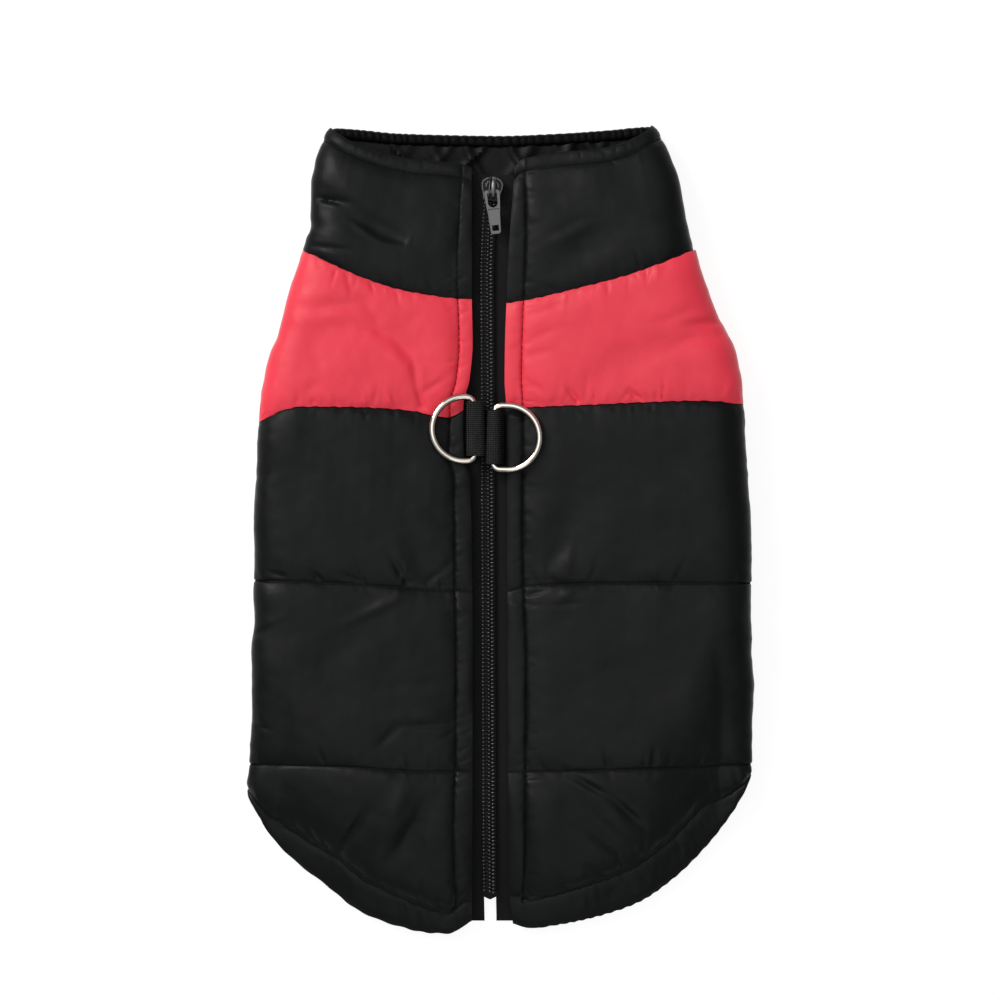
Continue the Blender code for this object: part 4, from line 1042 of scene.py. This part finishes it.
def yoke_panel(side, rng):
    upper = uneven(side, seam_y(side, COLLAR_SEAM)) - SEAM_GAP / 2
    lower = uneven(side, seam_y(side, YOKE_SEAM)) + SEAM_GAP / 2
    y = upper + (lower - upper) * eased(YOKE_ROWS)[:, None]
    panel = Panel("yoke", side, y)
    detail = panel.creases(rng, ((0, -90, 4.5, 6.0, 0.5), (-1, 90, 4.5, 8.0, 0.65)))
    panel.shape(from_seam(upper - y), from_seam(y - lower), detail)
    panel.stitches = []
    return panel


def back_panel(side, rng):
    seam = uneven(side, seam_y(side, YOKE_SEAM)) - SEAM_GAP / 2
    upper, lower = seam_y(side, QUILT_UPPER), seam_y(side, QUILT_LOWER)
    turned = np.clip(-ANGLE / 90, 0, 1)
    lower = lower + UNDER_LIFT * turned
    hem_x, hem = np.array([hem_line(side, column) for column in COLUMNS], float).T
    hem = hem + (hem_scallops(side, hem_x) + 0.5) * (1 - turned)
    shares = [eased(count)[:, None] for count in CHANNEL_ROWS]
    first = seam + (upper - seam) * shares[0]
    second = upper + (lower - upper) * shares[1][1:]
    # The last channel thins out where the hem comes near the quilting line.
    depth = (lower - hem) / FULL_CHANNEL
    from_quilt = np.minimum(depth, 1.0)
    slant = np.minimum(hem_slant(side, hem_x), depth)
    band = hem_band(side, hem_x)
    band_top = hem + band * slant
    in_band = np.array([0.04, 0.1, 0.2, 0.32, 0.48, 0.66, 0.84, 1.0])[:, None]
    to_band = lower + (band_top - lower) * shares[2][1:]
    tail = np.concatenate([to_band, band_top + (hem - band_top) * in_band])
    y = np.concatenate([first, second, tail])
    # Below the lower quilting line the tube closes to the hem's side corner.
    share = np.clip((lower - y) / (lower - hem), 0, 1)
    starts = tube_edge(side, np.maximum(y, lower))
    ends = [start + (corner - start) * share for start, corner in zip(starts, hem_corner(side))]
    panel = Panel("back", side, y, ends)
    upper_row = len(first) - 1
    lower_row = upper_row + len(second)
    stitch_row = lower_row + len(to_band)
    lines = (
        (0, -90, 7.0, 5.0, 0.35),
        (upper_row, 90, 9.0, 7.0, 0.8),
        (upper_row, -90, 8.0, 4.0, 0.2),
        (lower_row, 90, 8.0, 7.0, 0.8),
        (lower_row, -90, 8.0, 4.0, 0.2),
        (stitch_row, 100, 6.0, 7.0, 0.9),
        (-4, 90, 4.0, 4.0, 0.4),
        (stitch_row, -25 if side == RIGHT else -105, 7.0, 4.5, 0.6),
    )
    detail = panel.creases(rng, lines)
    detail -= 1.2 * (groove(y - upper) + groove(y - lower)) * (0.45 + 0.55 * LEVEL)
    from_stitch = (y - hem) / slant - band
    drawn_in = 0.3 * np.exp(-(((from_stitch - 1.6) / 2.2) ** 2))
    detail -= (1.5 * groove(from_stitch) + drawn_in) * panel.past_placket
    to_tail = from_seam((lower - tail) / from_quilt) * np.sqrt(from_quilt)
    above = np.concatenate([from_seam(seam - first), from_seam(upper - second), to_tail])
    at_hem = across_band((tail - hem) / slant, band)
    below = np.concatenate([from_seam(first - upper), from_seam(second - lower), at_hem])
    panel.shape(above, below, detail, from_stitch)
    panel.last_row = stitch_row + 1
    panel.stitches = [(row, 0, FOLD_COLUMN) for row in (upper_row, lower_row)]
    panel.stitches.append((stitch_row, STITCH_COLUMN, LAST_TOP + 8))
    return panel


def hem_scallops(side, x):
    """Small waves of the hem's edge, where its stitching draws it in."""
    pitch, height = (4.1, 0.22) if side == RIGHT else (9.0, 0.2)
    wave = height * np.sin(2 * math.pi * x / pitch + 0.8 * np.sin(x / 5.3))
    return wave * np.clip((np.abs(x) - 14) / 10, 0, 1)


def side_folds(panel, rng):
    """Small folds across the side fold, which make its outline uneven."""
    edge, crown = panel.y[:, LAST_TOP], panel.u[:, LAST_TOP + 14]
    rows = []
    y = edge[0]
    while y > edge[-1]:
        u = np.interp(y, edge[::-1], crown[::-1]) + rng.uniform(-4.0, 3.0)
        turn, length = rng.normal(0, 14), rng.uniform(5.0, 10.0)
        rows.append((u, y, turn, length, rng.uniform(1.3, 3.0), rng.normal(0, 0.15)))
        y -= rng.uniform(4.0, 9.0)
    return rows


def stitch_lines(panel, material):
    """Thread along the placket, the neck, the hem and the quilting."""
    points = panel.outer + panel.n * 0.04
    paths = [points[panel.first_row : panel.last_row, STITCH_COLUMN]]
    paths += [points[row, first:last] for row, first, last in panel.stitches]
    lines = zip(*(resampled(path, STITCH_PITCH) for path in paths))
    at, along = (np.concatenate(parts) for parts in lines)
    return beads(f"stitches_{panel.name}", at, along, STITCH, THREAD, material)


def place(obj, body, node_name=None):
    """Puts an object on its body, and in the place of a solid."""
    if node_name is not None:
        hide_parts(node_name)
    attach(obj, body)
    return obj


def main():
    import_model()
    mats = make_materials()
    rng = np.random.default_rng(SEED)
    for side in (LEFT, RIGHT):
        for maker in (collar_panel, yoke_panel, back_panel):
            panel = maker(side, rng)
            color = "red" if panel.kind == "yoke" else "black"
            layers = (panel.outer, panel.inner)
            obj = wall_object(f"{panel.name}_cloth", *layers, mats[color], mats["lining"])
            place(obj, "jacket", panel.name)
            place(stitch_lines(panel, mats["thread"]), "jacket")
    chest(mats)
    throat(mats, rng)
    zip_parts(mats)
    slider_body(mats["dark_metal"], mats["gunmetal"])
    pull(mats["gunmetal"])
    webbing_and_rings(mats)
    surroundings()
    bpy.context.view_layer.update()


def chest(mats):
    """Chest panel, with the soft folds of its lining towards the neck."""
    rng = np.random.default_rng(SEED + 7)
    across = np.linspace(-1, 1, 151)
    share = np.linspace(0, 1, 150)[:, None]
    hem = smooth(BELLY_HEM, "x", "y", np.abs(across) * smooth(SIDE_SEAM, "y", "x", UNDER_HEM))
    top = throat_y(across * smooth(SIDE_SEAM, "y", "x", 170.0)) - CASING - SEAM_GAP
    y = hem + (top - hem) * share
    half = smooth(SIDE_SEAM, "y", "x", y) - armhole(y) - SEAM_GAP / 2
    under = np.stack([across * half, y, np.zeros_like(y)], axis=2)
    x = under[..., 0]
    near_neck = np.clip((y - LINING_START) / LINING_RUN, 0, 1) ** 1.5
    ridge = np.zeros_like(x)
    for k in range(LINING_FOLDS):
        cx = LINING_LEFT + LINING_PITCH * k + rng.uniform(-2.5, 2.5)
        lean = (0.8 if k % 2 else -0.8) + rng.uniform(-0.3, 0.3)
        wide = rng.uniform(1.5, 3.2)
        ridge += rng.uniform(0.7, 1.6) * np.exp(-(((x - cx - lean * (top - y)) / wide) ** 2))
    edge = np.minimum(np.minimum(y - hem, top - y + 2.0), half - np.abs(x))
    full = filled(edge, 6.0)
    over = under + np.array([0.0, 0.0, WALL])
    over[..., 2] += ridge * near_neck + waves(x, y, rng, 22.0, 0.25) * full - 0.4 + full * 0.8
    # The allowances reach in under the pieces that it is sewn to.
    over[-1, :, 1] += TUCK
    for column, away in ((0, -1), (-1, 1)):
        over[:, column, 0] += away * 0.7 * (armhole(y[:, column]) == 0)
    obj = wall_object("chest_cloth", over, under, mats["lining"])
    place(obj, "jacket", "chest_panel")


def casing_ring(x, lift, size, puff=0.0):
    wide, high = (CASING + puff) * size, (CASING_DEPTH + puff) * size
    middle = float(throat_y(x)) - CASING / 2
    ring = []
    for m in range(15):
        a = math.pi * (1 - m / 14)
        across, up = signed_power(math.cos(a), 0.7), math.sin(a) ** 0.55
        ring.append((x, middle + wide / 2 * across, lift + high * up))
    return ring


def throat(mats, rng):
    """Gathered casing of the neck's elastic, whose ends turn up into the collar's corners."""
    length = CASING_RIGHT - CASING_LEFT
    gathers = round(length / GATHER_PITCH)
    per_gather = 8
    ends = [(t, math.sqrt(1 - 0.95 * t * t)) for t in np.linspace(1, 0.1, 10)]
    out, up = CASING_ENDS[LEFT]
    rings = [casing_ring(CASING_LEFT - out * t, up * t**1.4, size) for t, size in ends]
    phase = np.cumsum(rng.uniform(0.7, 1.3, gathers))
    tall = rng.uniform(0.5, 1.4, gathers)
    phase = np.concatenate([[0], phase / phase[-1]])
    for k in range(gathers * per_gather + 1):
        g = min(k // per_gather, gathers - 1)
        inside = k / per_gather - g
        share = phase[g] + (phase[g + 1] - phase[g]) * inside
        puff = 0.9 * GATHER_DEPTH * tall[g] * (1.6 * math.sin(math.pi * inside) - 0.9)
        rings.append(casing_ring(CASING_LEFT + length * share, 0.0, 1.0, puff))
    out, up = CASING_ENDS[RIGHT]
    rings += [casing_ring(CASING_RIGHT + out * t, up * t**1.4, size) for t, size in ends[::-1]]
    obj = sweep_object("throat_casing_cloth", rings, mats["casing"], smooth_angle=60)
    place(obj, "jacket", "throat_casing")


def from_zip(run, y, depth):
    """A point at a distance from the zip's middle and a depth under the plackets' surface."""
    return np.array(along_zip(zip_x(y) + run, y, depth))


def zip_parts(mats):
    """The two tapes, and the closed teeth on a plain core."""
    for side in (LEFT, RIGHT):
        rings = []
        for y in np.linspace(TAPE_TOP, TAPE_END, 160):
            middle = float(placket_x(side, y))
            runs = (zip_x(y) + side * TAPE_GAP, middle, middle + side * TAPE_UNDER)
            upper = [along_zip(x, y, WALL + TAPE_PLAY) for x in runs]
            rings.append(upper + [along_zip(x, y, WALL + TAPE_PLAY + TAPE) for x in runs[::-1]])
        tape = sweep_object(f"zip_tape_{SIDE_NAMES[side]}_woven", rings, mats["tape"])
        place(tape, "jacket", f"zip_tape_{SIDE_NAMES[side]}")
    outer, inner, knuckle, seam = (WALL - rise for rise in TOOTH_RISES)
    points, tangents, dots, ovals, shaded_backs = [], [], [], [], []
    for k in range(int((CHAIN_TOP - CHAIN_END) / TOOTH_PITCH)):
        for side in (LEFT, RIGHT):
            y = CHAIN_TOP - (k + (0.5 if side == RIGHT else 0.0)) * TOOTH_PITCH
            start = from_zip(side * TOOTH_REACH, y, outer)
            end = np.array(along_zip(zip_x(y) + side * 0.2, y - 0.12 * side, inner))
            points.append((start + end) / 2)
            tangents.append((end - start) / np.linalg.norm(end - start))
            edge = from_zip(side * 2.5, y, knuckle)
            if side == LEFT:
                dots += [edge, np.array(along_zip(zip_x(y), y - 0.1, seam))]
            else:
                ovals.append(from_zip(1.65, y, inner))
                shaded_backs.append(edge)
    # The bars and the right-hand ends of the teeth get the darker copy of the coil: painted shade.
    teeth = beads("zip_teeth", points, tangents, 3.3, 0.58, mats["shaded_coil"], 8, 0.9)
    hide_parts("zip_chain")
    slanted = np.array([0.98, 0.2, 0.0])
    ends = (
        ("zip_teeth_ends", dots, 1.1, 0.48, "coil"),
        ("zip_teeth_sides", ovals, 1.9, 0.5, "coil"),
        ("zip_teeth_backs", shaded_backs, 1.1, 0.45, "shaded_coil"),
    )
    made = [teeth]
    for name, at, length, radius, look in ends:
        made.append(beads(name, at, [slanted] * len(at), length, radius, mats[look], 8))
    threads = []
    for side in (LEFT, RIGHT):
        ys = np.linspace(CHAIN_TOP, CHAIN_END, 120)
        threads.append(resampled([from_zip(side * 2.0, y, seam) for y in ys], 1.71))
    at, along = (np.concatenate(parts) for parts in zip(*threads))
    made.append(beads("zip_teeth_thread", at, along, 1.5, 0.16, mats["thread"]))
    low, high = WALL - 0.1, WALL - 1.1
    profile = [(-1, low), (-1, high), (1, high), (1, low)]
    sections = [(y, TOOTH_REACH) for y in np.linspace(CHAIN_TOP, CHAIN_END, 160)]
    sections.append((CHAIN_END - 1.3, 0.1 * TOOTH_REACH))
    core = [[from_zip(wide * x, y, depth) for x, depth in profile] for y, wide in sections]
    made.append(sweep_object("zip_teeth_core", core, mats["tape"]))
    for obj in made:
        place(obj, "jacket")


def plate_object(name, outline, low, high, material):
    """A plate of an outline (x, y) between two heights."""
    rings = [[(x, y, z) for x, y in outline] for z in (low, high)]
    return sweep_object(name, rings, material, smooth_angle=35)


def bar(name, line, radius, material):
    """A round bar through points (x, y, z)."""
    line = np.asarray(line, float)
    angles = 2 * math.pi * (np.arange(8) + 0.5) / 8
    rings = []
    for p, t in zip(line, unit(np.gradient(line, axis=0))):
        sideways = unit(np.cross(t, (0.0, 0.0, 1.0) if abs(t[2]) < 0.9 else (1.0, 0.0, 0.0)))
        over = np.cross(sideways, t)
        rings.append([p + (sideways * math.cos(a) + over * math.sin(a)) * radius for a in angles])
    return sweep_object(name, rings, material)


def finish_metal(obj, turned, centre, edge):
    """Rounds an object's edges, and puts it in its place."""
    obj.data.shade_smooth()
    obj.data.set_sharp_from_angle(angle=math.radians(42))
    modifier = obj.modifiers.new("edges", "BEVEL")
    modifier.harden_normals = True
    modifier.width, modifier.segments = edge * MM, 2
    modifier.limit_method, modifier.angle_limit = "ANGLE", math.radians(32)
    bpy.context.view_layer.objects.active = obj
    bpy.ops.object.modifier_apply(modifier=modifier.name)
    obj.data.transform(turned.to_4x4())
    obj.data.transform(Matrix.Translation(Vector(centre) * MM))


def slider_body(metal_look, highlight_look):
    """Slider: two plates, rounded rims along the wings of the upper one, and its crown."""
    over = SLIDER_UP + SLIDER_WALL
    upper = plate_object("slider_metal", SLIDER_PLATE, SLIDER_UP, over, metal_look)
    down = -SLIDER_DOWN
    lower = plate_object("lower", SLIDER_PLATE, down - SLIDER_WALL, down, metal_look)
    post = plate_object("post", SLIDER_POST, down - 0.5, SLIDER_UP + 0.5, metal_look)
    crown = []
    for k in range(15):
        a = math.pi * (1 - k / 14)
        rise = (CROWN_RISE + 0.4) * math.sin(a) ** 0.5
        crown.append((0.0, 0.5 + CROWN_HALF * math.cos(a), over - 0.5 + rise))
    rims = []
    for middle, wide in ((-1.15, 0.6), (0.68, 1.6)):
        rib = bar("crown", crown, 0.6, metal_look)
        widened = Matrix.Diagonal((wide, 1.0, 1.0, 1.0))
        rib.data.transform(Matrix.Translation((middle * MM, 0, 0)) @ widened)
        rims.append(rib)
    for side in (LEFT, RIGHT):
        for path, up, radius in ((SLIDER_RIM, 0.05, 0.42), (SLIDER_BOSS, 0.0, 0.5)):
            rims.append(bar("rim", [(side * x, y, over + up) for x, y in path], radius, metal_look))
    combine(upper, "UNION", [lower, post, *rims])
    # Faces above the upper plate (the crown and the tops of the rims and bosses) get the lighter
    # gunmetal: a painted highlight over the black body.
    upper.data.materials.append(highlight_look)
    for face in upper.data.polygons:
        if face.center.z > (over + 0.12) * MM:
            face.material_index = 1
    middle, turned = slider_frame()
    finish_metal(upper, turned, middle, 0.12)
    place(upper, "jacket", "slider")


def pull(material):
    """Flat pull with a step below its upper hole and a sunk face."""
    half = PULL_PLATE / 2
    body = plate_object("pull_tab_metal", PULL_OUTLINE, -half, half, material)
    cuts = (
        (PULL_UPPER_HOLE, -PULL_PLATE),
        (PULL_END_HOLE, -PULL_PLATE),
        (PULL_FACE, half - FACE_DEPTH),
        (PULL_STEP, half - STEP_DEPTH),
    )
    cuts = [plate_object("cut", shape, low, PULL_PLATE, material) for shape, low in cuts]
    combine(body, "DIFFERENCE", cuts)
    slope = (zip_height(SLIDER_Y - 4) - zip_height(SLIDER_Y - 20)) / 16.0
    turned = turn_and_tilt(PULL_TURN, math.degrees(math.atan(slope)) + PULL_DROOP)
    finish_metal(body, turned, pull_pivot(), 0.16)
    place(body, "pull", "pull_tab")


def ring_points(side):
    """Rings of points round the wire of a D ring."""
    centre = Vector(RINGS[side][0])
    out, along, up = ring_frame(side)
    line = np.array(d_outline(RINGS[side][3]))
    line = np.concatenate([line, line[:1]])
    s = lengths(line)

    def wire(at):
        return np.array([np.interp(at % s[-1], s, line[:, k]) for k in range(2)])

    rings = []
    for k in range(RING_STATIONS):
        at = s[-1] * k / RING_STATIONS
        x, y = wire(at)
        tangent = Vector(wire(at + 0.4) - wire(at - 0.4)).normalized()
        sideways = out * tangent.y - along * tangent.x
        middle = centre + out * x + along * y
        rings.append([])
        for j in range(RING_AROUND):
            a = 2 * math.pi * j / RING_AROUND
            rings[-1].append(middle + (sideways * math.cos(a) + up * math.sin(a)) * WIRE / 2)
    return rings


def webbing_and_rings(mats):
    for side, name in SIDE_NAMES.items():
        ring = sweep_object(f"ring_{name}_wire", ring_points(side), mats["nickel"], True, 80)
        place(ring, f"{name}_ring", f"ring_{name}")
        tab = webbing_loop(side, f"ring_tab_{name}_woven", mats["webbing"])
        place(tab, "jacket", f"ring_tab_{name}")


def between(start, end, low, high):
    """13 points on the way from one point to another, between two shares of it."""
    return start + (end - start) * np.linspace(low, high, 13)[:, None]


def webbing_loop(side, name, material):
    """Folded webbing from under the placket, round the ring's bar and back, with its ribs."""
    (bx, by, bz), lean, _, _, slack = RINGS[side]
    half = WEBBING_WIDTH / 2
    ends = np.linspace(by - half, by + half, 9)
    root_x = side * float(np.min(side * placket_x(side, ends))) - side * TAB_GAP
    root_z = along_zip(root_x, by, WALL)[2]
    hole = WIRE / 2 + BAR_PLAY
    run, drop = abs(root_x - bx), root_z - bz
    meet = np.array((0.8 * run, 0.8 * (drop + WEBBING)))
    to_root = math.atan2(meet[1], meet[0])
    part = math.acos(hole / math.hypot(*meet))
    angles = to_root + part + (2 * math.pi - 2 * part) * np.linspace(0, 1, 52)
    past = slack * np.clip(-np.cos(angles) * 6, 0, 1)
    outer, inner = (
        np.stack([radius * np.cos(angles) - past, radius * np.sin(angles)], axis=1)
        for radius in (hole + WEBBING, hole)
    )
    high, low = np.array((run, drop + 2 * WEBBING)), np.array((run, drop))
    lead, trail = between(high, outer[0], 0, 1)[:-1], between(outer[-1], low, 0, 1)[1:]
    outer = np.concatenate([lead, outer, trail])
    lead, trail = between(meet, inner[0], 0.02, 1)[:-1], between(inner[-1], meet, 0, 0.98)[1:]
    inner = np.concatenate([lead, inner, trail])
    tangent = unit(np.gradient(outer, axis=0))
    normal = np.stack([tangent[:, 1], -tangent[:, 0]], axis=1)
    if (normal[len(outer) // 2] @ outer[len(outer) // 2]) < 0:
        normal = -normal
    s = lengths(outer)
    tilt = math.tan(math.radians(lean))
    top, under = [], []
    for y in np.linspace(-half, half, 157):
        edge = math.exp(-((half - abs(y)) / 0.5))
        ribs = 0.15 * (math.cos(2 * math.pi * y / 0.9) * np.cos(2 * math.pi * s)) - 0.3 * edge
        for rows, points in ((top, outer + normal * ribs[:, None]), (under, inner)):
            x, z = points.T
            slid = y * tilt * np.minimum(1.0, (run - x) / run)
            rows.append(np.stack([bx + side * x - slid, np.full(len(x), by + y), bz + z], axis=1))
    return wall_object(name, np.array(top), np.array(under), material)


def area_light(name, at, size, power, color=(1, 1, 1)):
    """A round lamp that faces the jacket."""
    light = bpy.data.lights.new(name, "AREA")
    light.shape, light.size = "DISK", size
    light.energy, light.color = power, color
    obj = bpy.data.objects.new(name, light)
    obj.location = at
    obj.rotation_mode = "QUATERNION"
    obj.rotation_quaternion = (-Vector(at)).to_track_quat("-Z", "Y")
    bpy.context.scene.collection.objects.link(obj)


def surroundings():
    """White lit floor, a wide soft light above, a key light from the upper left, and the camera
    straight above."""
    scene = bpy.context.scene
    scene.view_settings.view_transform = "Standard"
    scene.view_settings.look = "None"
    glow = {"Emission_Color": (1.0, 1.0, 1.0, 1.0), "Emission_Strength": 0.9}
    white, _, _ = shader("white_floor", (0.16, 0.16, 0.16), 0.8, 0.0, **glow)
    corners = ((-1, -1), (1, -1), (1, 1), (-1, 1))
    corners = [(FLOOR_SIZE * x, FLOOR_SIZE * y, -0.6) for x, y in corners]
    mesh_object("floor", corners, [(0, 1, 2, 3)], white)
    world = bpy.data.worlds.new("studio")
    world.use_nodes = True
    light = {"Color": (0.92, 0.95, 1.0, 1.0), "Strength": 0.2}
    fed(world.node_tree, world.node_tree.nodes["Background"], light)
    scene.world = world
    area_light("key", (-1.0, 0.95, 1.1), 0.8, 20.0, (1.0, 0.985, 0.96))
    area_light("overhead", (-0.6, 0.4, 3.3), 5.0, 51.0)
    area_light("overhead_core", (-0.7, 0.4, 3.1), 1.6, 5.5)
    area_light("fill", (0.2, -1.4, 1.6), 1.2, 4.0)
    camera = bpy.data.cameras.new("camera")
    camera.lens, camera.sensor_width = LENS, 36.0
    camera.clip_start, camera.clip_end = 0.1, 20.0
    eye = bpy.data.objects.new("camera", camera)
    eye.location = CAMERA
    scene.collection.objects.link(eye)
    scene.camera = eye


main()
